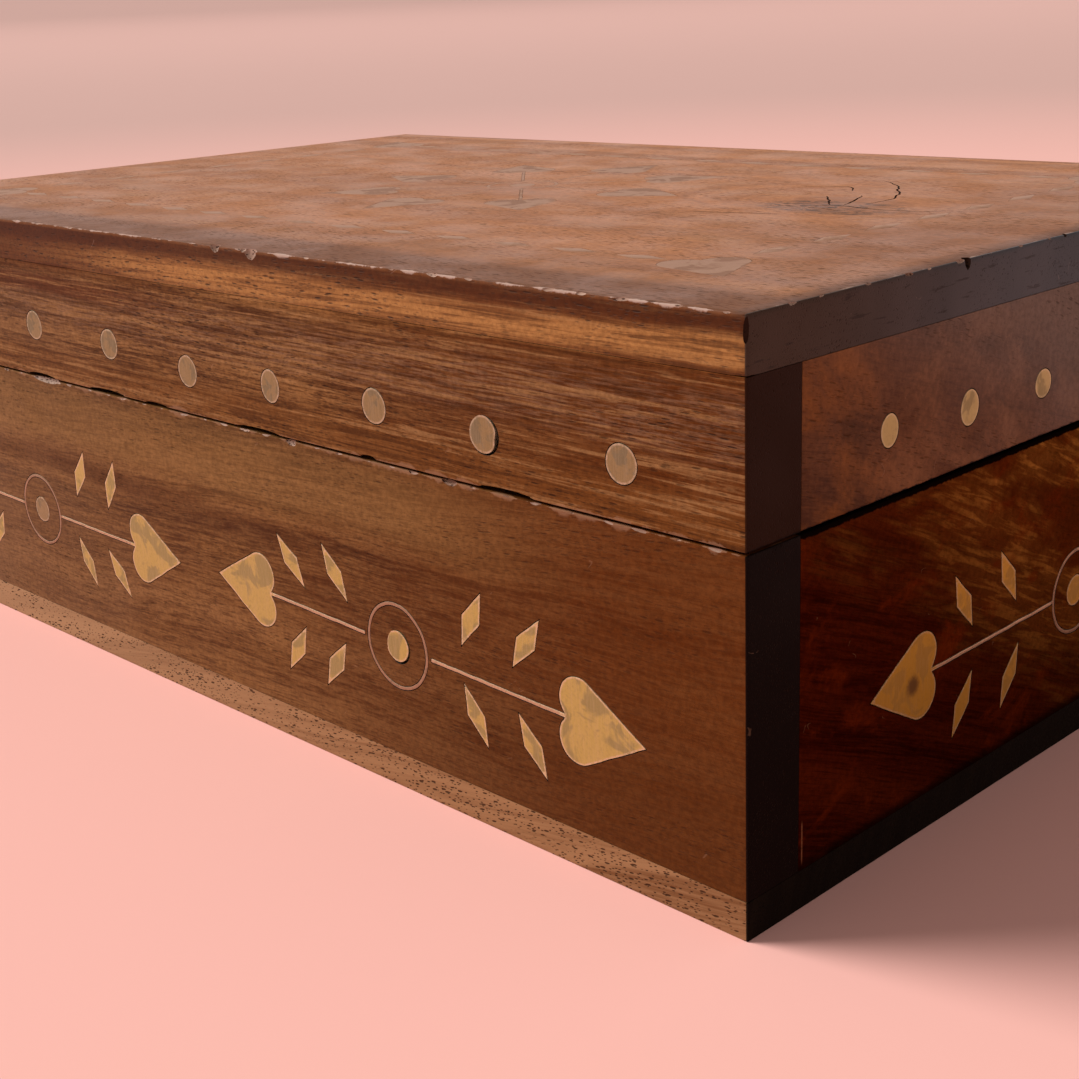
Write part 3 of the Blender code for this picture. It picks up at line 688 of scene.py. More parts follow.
def base_side_features(tree, place, base):
    """Golden streaks that fall to the right, at the top of the base's sides, and red gleams below."""
    x, y, z = height_of(tree, place)
    streaks = ramp(tree, golden_streaks(tree, place, 0.42, (0.1, 0.11, 1.05)), 0.40, 0.64)
    cloud = ramp(tree, golden_streaks(tree, place, 0.42, (0.1, 0.05, 0.13)), 0.36, 0.60)
    high = ramp(tree, calc(tree, "MULTIPLY_ADD", z, 1.5, y), -5.0, 50.0)
    base = laid_over(tree, base, high, 0.50, colour(0.120, 0.030, 0.005))
    gleam = calc(tree, "MULTIPLY", calc(tree, "MULTIPLY", calc(tree, "MAXIMUM", streaks, 0.28), cloud), high)
    gleam = calc(tree, "MULTIPLY", gleam, ramp(tree, y, 45.0, 0.0, 0.35, 1.0))
    base = laid_over(tree, base, gleam, 0.90, colour(0.390, 0.160, 0.030))
    red = ramp(tree, golden_streaks(tree, place, -0.25, (0.1, 0.10, 0.16)), 0.52, 0.70)
    base = laid_over(tree, base, red, 0.60, colour(0.130, 0.017, 0.002))
    thin = ramp(tree, calc(tree, "ABSOLUTE", calc(tree, "ADD", y, 55.3)), 0.06, 0.16, 1.0, 0.0)
    short = ramp(tree, calc(tree, "ABSOLUTE", calc(tree, "SUBTRACT", z, 7.8)), 2.0, 2.8, 1.0, 0.0)
    base = laid_over(tree, base, calc(tree, "MULTIPLY", thin, short), 0.6, colour(0.300, 0.120, 0.060))
    foot = ramp(tree, z, 6.2, 4.8)
    return laid_over(tree, base, foot, 0.80, colour(0.004, 0.001, 0.001))


def make_woods():
    front = {"Pith": (0.0, -60.0, -30.0), "Band Width": 3.4, "Waviness": 7.0}
    woods = {
        "lid_front": wood_material(
            "lid_front_wood", "X", (13.0, 0.0, 21.0), LID_LOW, LID_HIGH,
            tones(end=colour(0.020, 0.006, 0.002)), front, lid_front_streaks, flecks=0.7),
        "base_front": wood_material(
            "base_front_wood", "X", (-80.0, 0.0, -33.0), BASE_LOW, BASE_HIGH,
            tones(glow_share=0.2, pore_share=0.5, end=colour(0.0035, 0.0008, 0.0004)), {**front, "Band Width": 7.0, "Waviness": 9.0},
            base_front_streaks, tilt=0.05),
        "lid_side": wood_material(
            "lid_side_wood", "Y", (40.0, 7.0, 3.0), LID_LOW, LID_HIGH,
            tones(dark=colour(0.065, 0.020, 0.006), middle=colour(0.100, 0.034, 0.011),
                  light=colour(0.135, 0.050, 0.017), glow_share=0.0, pore_share=0.35,
                  end=colour(0.020, 0.005, 0.002), worn_share=0.0),
            {"Pith": (0.0, 50.0, -20.0), "Band Width": 9.0, "Waviness": 9.0}, lid_side_features,
            tilt=0.30, shine=0.08, flecks=0.3, dirt=1.0),
        "base_side": wood_material(
            "base_side_wood", "Y", (-15.0, 7.0, 9.0), BASE_LOW, BASE_HIGH,
            tones(dark=colour(0.018, 0.0015, 0.0005), middle=colour(0.036, 0.0035, 0.0010),
                  light=colour(0.070, 0.010, 0.002), glow_share=0.0, pore_share=0.35,
                  end=colour(0.006, 0.001, 0.001), worn_share=0.0),
            {"Pith": (0.0, 50.0, -60.0), "Band Width": 8.0, "Waviness": 9.0}, base_side_features,
            tilt=0.40, shine=0.0, flecks=0.3, dirt=1.0),
        "lid_top": wood_material(
            "lid_top_wood", "X", (0.0, 0.0, 0.0), LID_LOW, LID_HIGH,
            tones(dark=colour(0.235, 0.082, 0.025), middle=colour(0.320, 0.118, 0.036),
                  light=colour(0.385, 0.148, 0.048), glow_share=0.2,
                  worn=colour(0.52, 0.38, 0.32), worn_share=0.75),
            {"Pith": (0.0, -15.0, -30.0), "Band Width": 3.4, "Waviness": 9.0,
             "Knot": (60.0, 6.0, 66.0), "Knot Size": 13.0, "Knot Rise": 16.0},
            lid_top_features, roughness=0.36, worn_and_highlight_width=0.35 * MM, shine=0.12, flecks=0.3, ends=end_grain_with_painted_sheen),
    }
    woods["raw"] = raw_material("raw_wood_edge", colour(0.350, 0.190, 0.092), colour(0.170, 0.072, 0.028),
                                colour(0.032, 0.011, 0.004), colour(0.40, 0.25, 0.14), dark_ends=0.98)
    woods["broken"] = raw_material("broken_wood", colour(0.40, 0.27, 0.21), colour(0.16, 0.07, 0.04),
                                   colour(0.04, 0.016, 0.009), colour(0.44, 0.32, 0.26))
    # painted shade: broken wood painted nearly black for the shade inside the seam's torn gaps, the chips at the
    # top's right edge and the knot's cracks
    woods["shadow_gap"] = raw_material("dark_broken_wood", colour(0.030, 0.013, 0.008),
                                       colour(0.012, 0.005, 0.003), colour(0.006, 0.003, 0.002),
                                       colour(0.020, 0.009, 0.006))
    woods["filler"] = raw_material("brown_filler", colour(0.150, 0.060, 0.024), colour(0.080, 0.030, 0.012),
                                   colour(0.040, 0.015, 0.007), colour(0.15, 0.06, 0.03))
    woods["glue"] = glue_material()
    return woods


def make_brasses():
    bright = colour(0.56, 0.47, 0.15)
    dull = colour(0.33, 0.26, 0.12)
    rim = colour(0.74, 0.58, 0.38)
    return {
        "figures": brass_material("brass_figures", bright, dull, rim, 0.55),
        "side_figures": brass_material("brass_side_figures", colour(0.60, 0.36, 0.035),
                                       colour(0.42, 0.25, 0.05), colour(0.62, 0.46, 0.24), 0.5,
                                       stain=((100.0, -34.9, 19.2), 1.1)),
        "dots": brass_material("brass_dots", colour(0.32, 0.25, 0.12), colour(0.22, 0.175, 0.105),
                               colour(0.56, 0.46, 0.32), 0.55, patch_size=2.6),
        "side_dots": brass_material("brass_side_dots", colour(0.43, 0.37, 0.15),
                                    colour(0.30, 0.25, 0.12), colour(0.52, 0.45, 0.26), 0.5,
                                    patch_size=2.6),
        "wires": brass_material("brass_wires", colour(0.62, 0.49, 0.31), colour(0.30, 0.19, 0.11),
                                colour(0.60, 0.42, 0.28), 0.55, patch_size=1.0),
        "rings": brass_material("brass_rings", colour(0.43, 0.32, 0.21), colour(0.20, 0.12, 0.07),
                                colour(0.40, 0.26, 0.17), 0.55, patch_size=1.2),
        "top": brass_material("brass_lid_top", colour(0.30, 0.145, 0.070), colour(0.20, 0.085, 0.040),
                              colour(0.30, 0.15, 0.08), 0.5, metallic=0.35, roughness=0.42),
    }


WOODS = make_woods()
BRASSES = make_brasses()


# Geometry Nodes

def set_input(modifier, name, value):
    """Sets a modifier's input by its socket's identifier, found by the socket's name."""
    for item in modifier.node_group.interface.items_tree:
        if item.item_type == "SOCKET" and item.in_out == "INPUT" and item.name == name:
            modifier[item.identifier] = value


def finish_tree(tree, geometry, material, result):
    """Every tree ends in Realize Instances and Set Material."""
    real = put(tree, "GeometryNodeRealizeInstances", {0: geometry}).outputs[0]
    named = put(tree, "GeometryNodeSetMaterial", {"Geometry": real, "Material": material}).outputs[0]
    tree.links.new(named, result["Geometry"])


GEOMETRY = {"Geometry": ("NodeSocketGeometry", None)}
MATERIAL = {"Material": ("NodeSocketMaterial", None)}


def board_tree():
    """A board between two corners: its arrises eased and worn, its faces a little uneven."""
    tree, given, result = new_group("worn_board", "GeometryNodeTree", {
        **GEOMETRY,
        "Low": (VECTOR, (-0.1, -0.1, -0.1)), "High": (VECTOR, (0.1, 0.1, 0.1)),
        "Vertices X": (INT, 8), "Vertices Y": (INT, 8), "Vertices Z": (INT, 8),
        "Crowding": (VECTOR, (0.6, 0.6, 0.6)),
        "Box Low": (VECTOR, (-0.1, -0.1, -0.1)), "Box High": (VECTOR, (0.1, 0.1, 0.1)),
        "Arris": (FLOAT, TOP_ARRIS), "Wear": (FLOAT, ARRIS_WEAR), "Joint Ease": (FLOAT, JOINT_EASE),
        "Unevenness": (FLOAT, UNEVENNESS), "Seed": (FLOAT, 0.0),
        **MATERIAL,
    }, {"Geometry": "NodeSocketGeometry"})
    low, high = given["Low"], given["High"]
    cube = put(tree, "GeometryNodeMeshCube", {
        "Size": (2.0, 2.0, 2.0), "Vertices X": given["Vertices X"], "Vertices Y": given["Vertices Y"],
        "Vertices Z": given["Vertices Z"]}).outputs["Mesh"]

    # Vertices crowd towards the board's ends, where the rounding needs them
    even = put(tree, "GeometryNodeInputPosition").outputs[0]
    wave = vector_calc(tree, "SINE", scaled(tree, even, math.pi))
    crowded = vector_calc(tree, "MULTIPLY", wave, scaled(tree, given["Crowding"], 1 / math.pi))
    crowded = vector_calc(tree, "ADD", even, crowded)
    middle = scaled(tree, vector_calc(tree, "ADD", low, high), 0.5)
    half = scaled(tree, vector_calc(tree, "SUBTRACT", high, low), 0.5)
    square = vector_calc(tree, "MULTIPLY_ADD", crowded, half, middle)

    # The whole box's arrises are worn, and a joint's edges are only eased
    inside = vector_calc(tree, "MINIMUM", vector_calc(tree, "SUBTRACT", square, given["Box Low"]),
                         vector_calc(tree, "SUBTRACT", given["Box High"], square))
    on_arris = ramp(tree, second_smallest(tree, inside), 0.9 * MM, 1.6 * MM, 1.0, 0.0)
    seeded = put(tree, "ShaderNodeCombineXYZ", {0: given["Seed"], 1: given["Seed"], 2: 0.0}).outputs[0]
    coarse = noise_at(tree, vector_calc(tree, "ADD", scaled(tree, square, 110.0), seeded), 4.0, 0.5)
    wear = calc(tree, "MULTIPLY", ramp(tree, coarse.outputs[0], 0.42, 0.74), given["Wear"])
    arris = calc(tree, "MULTIPLY", given["Arris"], calc(tree, "ADD", wear, 0.65))
    eased = calc(tree, "MULTIPLY", given["Joint Ease"], calc(tree, "MULTIPLY_ADD", coarse.outputs[0], 1.2, 0.4))
    radius = put(tree, "ShaderNodeMix", {0: on_arris, 2: eased, 3: arris}, data_type="FLOAT").outputs[0]

    core = vector_calc(tree, "MAXIMUM", vector_calc(tree, "ADD", low, radius),
                       vector_calc(tree, "MINIMUM", square, vector_calc(tree, "SUBTRACT", high, radius)))
    outward = vector_calc(tree, "SUBTRACT", square, core)
    length = calc(tree, "MAXIMUM", vector_calc(tree, "LENGTH", outward), 1e-8)
    broad = noise_at(tree, vector_calc(tree, "ADD", scaled(tree, square, 55.0), seeded), 3.0)
    hollow = calc(tree, "MULTIPLY", broad.outputs[0], given["Unevenness"])
    reach = calc(tree, "DIVIDE", calc(tree, "SUBTRACT", radius, hollow), length)
    rounded = vector_calc(tree, "ADD", core, scaled(tree, outward, reach))
    moved = put(tree, "GeometryNodeSetPosition", {"Geometry": cube, "Position": rounded}).outputs[0]
    finish_tree(tree, moved, given["Material"], result)
    return tree


def row_tree():
    """A row of flat inlays along X: a plate with a few sides is a lozenge, and one with many is a dot."""
    tree, given, result = new_group("inlaid_row", "GeometryNodeTree", {
        **GEOMETRY,
        "Count": (INT, 5), "Pitch": (FLOAT, 0.01), "Sides": (INT, 4),
        "Half Length": (FLOAT, 0.004), "Half Width": (FLOAT, 0.0015), "Thickness": (FLOAT, 0.001),
        "Stray": (FLOAT, 0.0), "Lean": (FLOAT, 0.0), "Seed": (INT, 0),
        **MATERIAL,
    }, {"Geometry": "NodeSocketGeometry"})
    span = calc(tree, "MULTIPLY", given["Pitch"], calc(tree, "SUBTRACT", given["Count"], 1.0))
    start = put(tree, "ShaderNodeCombineXYZ", {0: calc(tree, "MULTIPLY", span, -0.5)}).outputs[0]
    step = put(tree, "ShaderNodeCombineXYZ", {0: given["Pitch"]}).outputs[0]
    line = put(tree, "GeometryNodeMeshLine", {"Count": given["Count"], "Start Location": start,
                                              "Offset": step}).outputs[0]
    stray = put(tree, "ShaderNodeCombineXYZ", {0: given["Stray"], 1: given["Stray"]}).outputs[0]
    shift = put(tree, "FunctionNodeRandomValue", {"Min": scaled(tree, stray, -1.0), "Max": stray,
                                                  "Seed": given["Seed"]}, data_type="FLOAT_VECTOR")
    line = put(tree, "GeometryNodeSetPosition", {"Geometry": line, "Offset": shift.outputs[0]}).outputs[0]
    plate = put(tree, "GeometryNodeMeshCylinder", {"Vertices": given["Sides"], "Radius": 1.0,
                                                   "Depth": given["Thickness"]}).outputs["Mesh"]
    turn = put(tree, "ShaderNodeCombineXYZ", {2: given["Lean"]}).outputs[0]
    lean = put(tree, "FunctionNodeRandomValue", {"Min": scaled(tree, turn, -1.0), "Max": turn,
                                                 "Seed": given["Seed"]}, data_type="FLOAT_VECTOR")
    size = put(tree, "ShaderNodeCombineXYZ", {0: given["Half Length"], 1: given["Half Width"],
                                              2: 1.0}).outputs[0]
    laid = put(tree, "GeometryNodeInstanceOnPoints", {"Points": line, "Instance": plate,
                                                      "Rotation": lean.outputs[0], "Scale": size}).outputs[0]
    finish_tree(tree, laid, given["Material"], result)
    return tree


def chip_tree():
    """Rough lumps along a line, which are cut out of the wood as chips and splinters."""
    tree, given, result = new_group("chips", "GeometryNodeTree", {
        **GEOMETRY,
        "Start": (VECTOR, (0.0, 0.0, 0.0)), "End": (VECTOR, (0.1, 0.0, 0.0)), "Count": (INT, 1),
        "Size": (VECTOR, (0.001, 0.001, 0.001)), "Size Range": (FLOAT, 0.0), "Drift": (FLOAT, 0.0),
        "Roughness": (FLOAT, 0.2), "Tilt": (FLOAT, 0.25), "Seed": (INT, 0),
        **MATERIAL,
    }, {"Geometry": "NodeSocketGeometry"})
    line = put(tree, "GeometryNodeMeshLine", {"Count": given["Count"], "Start Location": given["Start"],
                                              "Offset": given["End"]}, mode="END_POINTS").outputs[0]
    along = vector_calc(tree, "NORMALIZE", vector_calc(tree, "SUBTRACT", given["End"], given["Start"]))
    slide = put(tree, "FunctionNodeRandomValue", {2: calc(tree, "MULTIPLY", given["Drift"], -1.0),
                                                  3: given["Drift"], "Seed": given["Seed"]},
                data_type="FLOAT").outputs[1]
    line = put(tree, "GeometryNodeSetPosition", {"Geometry": line,
                                                 "Offset": scaled(tree, along, slide)}).outputs[0]
    lump = put(tree, "GeometryNodeMeshIcoSphere", {"Radius": 1.0, "Subdivisions": 3}).outputs["Mesh"]
    share = put(tree, "FunctionNodeRandomValue", {
        2: calc(tree, "SUBTRACT", 1.0, given["Size Range"]), 3: calc(tree, "ADD", 1.0, given["Size Range"]),
        "Seed": calc(tree, "ADD", given["Seed"], 7.0)}, data_type="FLOAT").outputs[1]
    most = put(tree, "ShaderNodeCombineXYZ", {0: given["Tilt"], 1: given["Tilt"], 2: given["Tilt"]}).outputs[0]
    tilt = put(tree, "FunctionNodeRandomValue", {"Min": scaled(tree, most, -1.0), "Max": most,
                                                 "Seed": given["Seed"]}, data_type="FLOAT_VECTOR")
    laid = put(tree, "GeometryNodeInstanceOnPoints", {
        "Points": line, "Instance": lump, "Rotation": tilt.outputs[0],
        "Scale": scaled(tree, given["Size"], share)}).outputs[0]
    real = put(tree, "GeometryNodeRealizeInstances", {0: laid}).outputs[0]
    place = put(tree, "GeometryNodeInputPosition").outputs[0]
    rough = noise_at(tree, scaled(tree, place, 1900.0), 3.0, 0.6).outputs["Color"]
    rough = vector_calc(tree, "SUBTRACT", rough, (0.5, 0.5, 0.5))
    rough = vector_calc(tree, "MULTIPLY", rough, scaled(tree, given["Size"], given["Roughness"]))
    real = put(tree, "GeometryNodeSetPosition", {"Geometry": real, "Offset": rough}).outputs[0]
    finish_tree(tree, real, given["Material"], result)
    return tree


def crack_tree():
    """Thin blades along a curve, deep in their middle and thin at their ends, which cut cracks."""
    tree, given, result = new_group("cracks", "GeometryNodeTree", {
        **GEOMETRY,
        "Half Width": (FLOAT, 0.1 * MM), "Depth": (FLOAT, 0.8 * MM), "Ragged": (FLOAT, 0.2 * MM),
        **MATERIAL,
    }, {"Geometry": "NodeSocketGeometry"})
    fine = put(tree, "GeometryNodeResampleCurve", {"Curve": given["Geometry"], "Length": 0.5 * MM},
               mode="LENGTH").outputs[0]
    place = put(tree, "GeometryNodeInputPosition").outputs[0]
    sway = noise_at(tree, scaled(tree, place, 420.0), 3.0).outputs["Color"]
    sway = vector_calc(tree, "SUBTRACT", sway, (0.5, 0.5, 0.5))
    sway = vector_calc(tree, "MULTIPLY", scaled(tree, sway, given["Ragged"]), (1.0, 1.0, 0.0))
    fine = put(tree, "GeometryNodeSetPosition", {"Geometry": fine, "Offset": sway}).outputs[0]
    fine = put(tree, "GeometryNodeSetCurveNormal", {"Curve": fine}, mode="Z_UP").outputs[0]
    blade = put(tree, "GeometryNodeCurvePrimitiveCircle", {"Resolution": 4, "Radius": 1.0}).outputs[0]
    flat = put(tree, "ShaderNodeCombineXYZ", {0: given["Half Width"], 1: given["Depth"],
                                              2: 1.0}).outputs[0]
    blade = put(tree, "GeometryNodeTransform", {"Geometry": blade, "Scale": flat}).outputs[0]
    share = put(tree, "GeometryNodeSplineParameter").outputs["Factor"]
    arch = calc(tree, "SINE", calc(tree, "MULTIPLY", share, math.pi))
    taper = calc(tree, "MULTIPLY_ADD", calc(tree, "POWER", arch, 0.6), 0.95, 0.05)
    cut = put(tree, "GeometryNodeCurveToMesh", {"Curve": fine, "Profile Curve": blade, "Fill Caps": True,
                                                "Scale": taper}).outputs[0]
    finish_tree(tree, cut, given["Material"], result)
    return tree


BOARD_TREE = board_tree()
ROW_TREE = row_tree()
CHIP_TREE = chip_tree()
CRACK_TREE = crack_tree()


# Turning objects into plain meshes

def plain_mesh(obj, name):
    """The evaluated object as a mesh of its own; the object that it came from is removed."""
    evaluated = obj.evaluated_get(bpy.context.evaluated_depsgraph_get())
    mesh = bpy.data.meshes.new_from_object(evaluated)
    mesh.name = name
    bpy.data.objects.remove(obj)
    return mesh


def generated(tree, name, settings, data=None, matrix=None, bevel=0.0):
    """The mesh that a Geometry Nodes tree makes with these settings."""
    holder = bpy.data.objects.new(name, data or bpy.data.meshes.new(name))
    COLLECTION.objects.link(holder)
    modifier = holder.modifiers.new(tree.name, "NODES")
    modifier.node_group = tree
    for socket, value in settings.items():
        set_input(modifier, socket, value)
    if bevel:
        eased = holder.modifiers.new("eased edges", "BEVEL")
        eased.width = bevel
        eased.segments = 2
        eased.limit_method = "ANGLE"
    mesh = plain_mesh(holder, name)
    if matrix is not None:
        mesh.transform(matrix)
    return mesh


def joined_mesh(name, meshes):
    """One mesh out of several, which keeps their materials."""
    bm = bmesh.new()
    materials = []
    for mesh in meshes:
        first = len(bm.faces)
        for material in mesh.materials:
            if material not in materials:
                materials.append(material)
        slots = [materials.index(material) for material in mesh.materials]
        bm.from_mesh(mesh)
        bm.faces.ensure_lookup_table()
        for face in bm.faces[first:]:
            face.material_index = slots[face.material_index] if slots else 0
    joined = bpy.data.meshes.new(name)
    bm.to_mesh(joined)
    bm.free()
    for material in materials:
        joined.materials.append(material)
    for mesh in meshes:
        bpy.data.meshes.remove(mesh)
    return joined


def finish_piece(name, mesh, replaced=(), sharp=35):
    """A finished piece: shaded smooth up to its edges, riding on the box."""
    mesh.shade_smooth()
    mesh.set_sharp_from_angle(angle=math.radians(sharp))
    obj = bpy.data.objects.new(name, mesh)
    COLLECTION.objects.link(obj)
    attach(obj, "root")
    if replaced:
        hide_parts(*replaced)
    return obj


# Brass outlines

def cad_outlines(node, face):
    """The closed outlines of a CAD brass node's outer side, in the face's own plane."""
    bm = bmesh.new()
    bm.from_mesh(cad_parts[node].data)
    bmesh.ops.remove_doubles(bm, verts=bm.verts, dist=0.01 * MM)
    inverse = face.inverted()
    out = face.to_3x3() @ Vector((0.0, 0.0, 1.0))
    after = {}
    for side in bm.faces:
        if side.normal.dot(out) < 0.9:
            continue
        for loop in side.loops:
            if sum(other.normal.dot(out) > 0.9 for other in loop.edge.link_faces) == 1:
                after[loop.vert] = loop.link_loop_next.vert
    outlines = []
    while after:
        start, vertex = after.popitem()
        outline = [start]
        while vertex is not start:
            outline.append(vertex)
            vertex = after.pop(vertex)
        outlines.append([(inverse @ v.co).to_2d() for v in outline])
    bm.free()
    return outlines


def finer_outline(points):
    """The outline with round stretches made smooth; corners and straight runs stay."""
    count = len(points)
    steps = [(points[(k + 1) % count] - points[k]) for k in range(count)]
    lengths = [step.length for step in steps]
    headings = [step.normalized() for step in steps]
    leaving, arriving = [], []
    for k in range(count):
        before, ahead = headings[k - 1], headings[k]
        if before.angle(ahead, 0.0) > CORNER_TURN:
            arriving.append(before)
            leaving.append(ahead)
            continue
        if lengths[k - 1] > STRAIGHT_RUN:
            heading = before
        elif lengths[k] > STRAIGHT_RUN:
            heading = ahead
        else:
            heading = (before + ahead).normalized()
        arriving.append(heading)
        leaving.append(heading)
    fine = []
    for k in range(count):
        start, end = points[k], points[(k + 1) % count]
        parts = max(1, math.ceil(lengths[k] / OUTLINE_SPACING))
        for part in range(parts):
            t = part / parts
            if lengths[k] > STRAIGHT_RUN:
                fine.append(start.lerp(end, t))
                continue
            bend = (2 * t ** 3 - 3 * t ** 2 + 1) * start + (3 * t ** 2 - 2 * t ** 3) * end
            bend += (t ** 3 - 2 * t ** 2 + t) * lengths[k] * leaving[k]
            bend += (t ** 3 - t ** 2) * lengths[k] * arriving[(k + 1) % count]
            fine.append(bend)
    return fine


def hand_sawn(points, seed, wander=SAW_WANDER):
    """The outline as a hand with a piercing saw leaves it: it wanders a little."""
    sawn = []
    for point in points:
        slow = noise.noise_vector(Vector((point.x * 420.0, point.y * 420.0, seed)))
        fast = noise.noise_vector(Vector((point.x * 1700.0, point.y * 1700.0, seed + 40.0)))
        sawn.append(point + slow.to_2d() * wander + fast.to_2d() * wander * 0.35)
    return sawn


def middle_of(points):
    low = Vector((min(p.x for p in points), min(p.y for p in points)))
    high = Vector((max(p.x for p in points), max(p.y for p in points)))
    return (low + high) / 2


def squashed(points, width, height):
    centre = middle_of(points)
    return [centre + Vector(((p.x - centre.x) * width, (p.y - centre.y) * height)) for p in points]


def bitten(points, heading, depth, spread):
    """A dot with a bite out of its rim, towards a heading."""
    centre = middle_of(points)
    changed = []
    for point in points:
        arm = point - centre
        turn = math.atan2(arm.y, arm.x) - heading
        turn = (turn + math.pi) % math.tau - math.pi
        changed.append(centre + arm * (1.0 - depth * math.exp(-(turn / spread) ** 2)))
    return changed


def skewed_leaf(points):
    """A lozenge whose blunt corners are shifted along it, as a strip cut on the slant gives."""
    upper = max(points, key=lambda p: p.y)
    lower = min(points, key=lambda p: p.y)
    centre = (upper + lower) / 2
    along = (lower - upper).normalized()
    across = Vector((-along.y, along.x))
    lean = math.copysign(LEAF_SKEW, along.x)
    return [point + along * lean * (point - centre).dot(across) for point in points]


def heart_outline(centre, heading):
    """A heart of the same make as the others, with its point towards a heading."""
    lobe = HEART_WIDTH / 2 + HEART_NOTCH - math.sqrt(HEART_WIDTH * HEART_NOTCH)
    offset = HEART_WIDTH / 2 - lobe
    back = lobe - HEART_LENGTH / 2
    to_point = HEART_LENGTH / 2 - back
    half_angle = math.atan2(offset, to_point) + math.asin(lobe / math.hypot(to_point, offset))
    first = math.pi + math.asin(offset / lobe)
    last = math.pi / 2 - half_angle
    steps = 26
    upper = []
    for k in range(steps + 1):
        angle = first + (last - first) * k / steps
        upper.append(Vector((back + lobe * math.cos(angle), offset + lobe * math.sin(angle))))
    lower = [Vector((p.x, -p.y)) for p in upper[1:]]
    outline = lower + [Vector((HEART_LENGTH / 2, 0.0))] + upper[::-1]
    turn = Matrix.Rotation(heading, 2)
    return [turn @ point + Vector(centre) for point in outline]


# Brass pieces and pockets

def outline_plate(name, outlines, low, high, grow=0.0, edge=0.0):
    """A plate between two levels over a face, with its outlines grown and its edges rounded."""
    curve = bpy.data.curves.new(name, "CURVE")
    curve.dimensions = "2D"
    curve.fill_mode = "BOTH"
    curve.extrude = (high - low) / 2 - edge
    curve.bevel_depth = edge
    curve.bevel_resolution = 1
    curve.offset = grow - edge
    for outline in outlines:
        spline = curve.splines.new("POLY")
        spline.points.add(len(outline) - 1)
        for point, place in zip(spline.points, outline):
            point.co = (place.x, place.y, 0.0, 1.0)
        spline.use_cyclic_u = True
    holder = bpy.data.objects.new(name, curve)
    COLLECTION.objects.link(holder)
    mesh = plain_mesh(holder, name)
    bpy.data.curves.remove(curve)
    bm = bmesh.new()
    bm.from_mesh(mesh)
    bmesh.ops.remove_doubles(bm, verts=bm.verts, dist=0.002 * MM)
    bmesh.ops.translate(bm, vec=(0.0, 0.0, (high + low) / 2), verts=bm.verts)
    bmesh.ops.recalc_face_normals(bm, faces=bm.faces)
    bm.to_mesh(mesh)
    bm.free()
    return mesh


POCKETS = {}


def cut_pocket(board, outlines, face):
    POCKETS.setdefault(board, []).append((outlines, face))


def split_at_wire_ends(mesh, parts):
    """Cuts the plate's faces where its wires meet its hearts and its ring, so that each has its own."""
    centre, ends = parts
    bm = bmesh.new()
    bm.from_mesh(mesh)
    for offset in (-ends[0], -RING_REACH, RING_REACH, ends[1]):
        bmesh.ops.bisect_plane(bm, geom=bm.verts[:] + bm.edges[:] + bm.faces[:], dist=1e-7,
                               plane_co=(centre.x + offset, 0.0, 0.0), plane_no=(1.0, 0.0, 0.0))
    bm.to_mesh(mesh)
    bm.free()


def outer_faces(bm):
    return [face for face in bm.faces if face.normal.z > 0.9 and face.material_index == 0]


def mark_rims(mesh, outlines):
    """Divides the outer side into a grid, and notes how far inside its edge each vertex lies."""
    bm = bmesh.new()
    bm.from_mesh(mesh)
    inner_edges = [edge for edge in bm.edges if len(edge.link_faces) == 2
                   and all(face.normal.z > 0.9 and face.material_index == 0 for face in edge.link_faces)]
    bmesh.ops.dissolve_edges(bm, edges=inner_edges, use_verts=False)
    points = [point for outline in outlines for point in outline]
    for axis in (0, 1):
        level = min(point[axis] for point in points) + RIM_GRID
        end = max(point[axis] for point in points)
        direction = Vector((1.0, 0.0, 0.0)) if axis == 0 else Vector((0.0, 1.0, 0.0))
        while level < end:
            faces = outer_faces(bm)
            edges = list({edge for face in faces for edge in face.edges})
            verts = list({vertex for face in faces for vertex in face.verts})
            bmesh.ops.bisect_plane(bm, geom=verts + edges + faces, dist=1e-7, plane_co=direction * level,
                                   plane_no=direction)
            level += RIM_GRID
    inside = bm.verts.layers.float.new("inside")
    tree = KDTree(len(points))
    for number, point in enumerate(points):
        tree.insert(point.to_3d(), number)
    tree.balance()
    for face in outer_faces(bm):
        for vertex in face.verts:
            on_edge = any(other.normal.z < 0.9 for other in vertex.link_faces)
            distance = tree.find((vertex.co.x, vertex.co.y, 0.0))[2] / MM
            vertex[inside] = 0.0 if on_edge else min(distance, 1.0)
    bmesh.ops.triangulate(bm, faces=bm.faces)
    bmesh.ops.dissolve_degenerate(bm, dist=0.002 * MM, edges=bm.edges)
    bm.to_mesh(mesh)
    bm.free()


def lay_brass(name, outlines, face, board, materials, replaced=(), parts=None, pocket=None):
    """One brass piece flush with its board, and the pocket for it."""
    mesh = outline_plate(name, outlines, -BRASS_THICKNESS, 0.0, grow=BRASS_SHRINK, edge=BRASS_EDGE)
    for material in materials:
        mesh.materials.append(material)
    if parts:
        split_at_wire_ends(mesh, parts)
        for polygon in mesh.polygons:
            polygon.material_index = part_material(polygon.center.to_2d(), parts)
    mark_rims(mesh, outlines)
    mesh.transform(face)
    finish_piece(f"{name}_brass", mesh, replaced)
    cut_pocket(board, pocket or outlines, face)


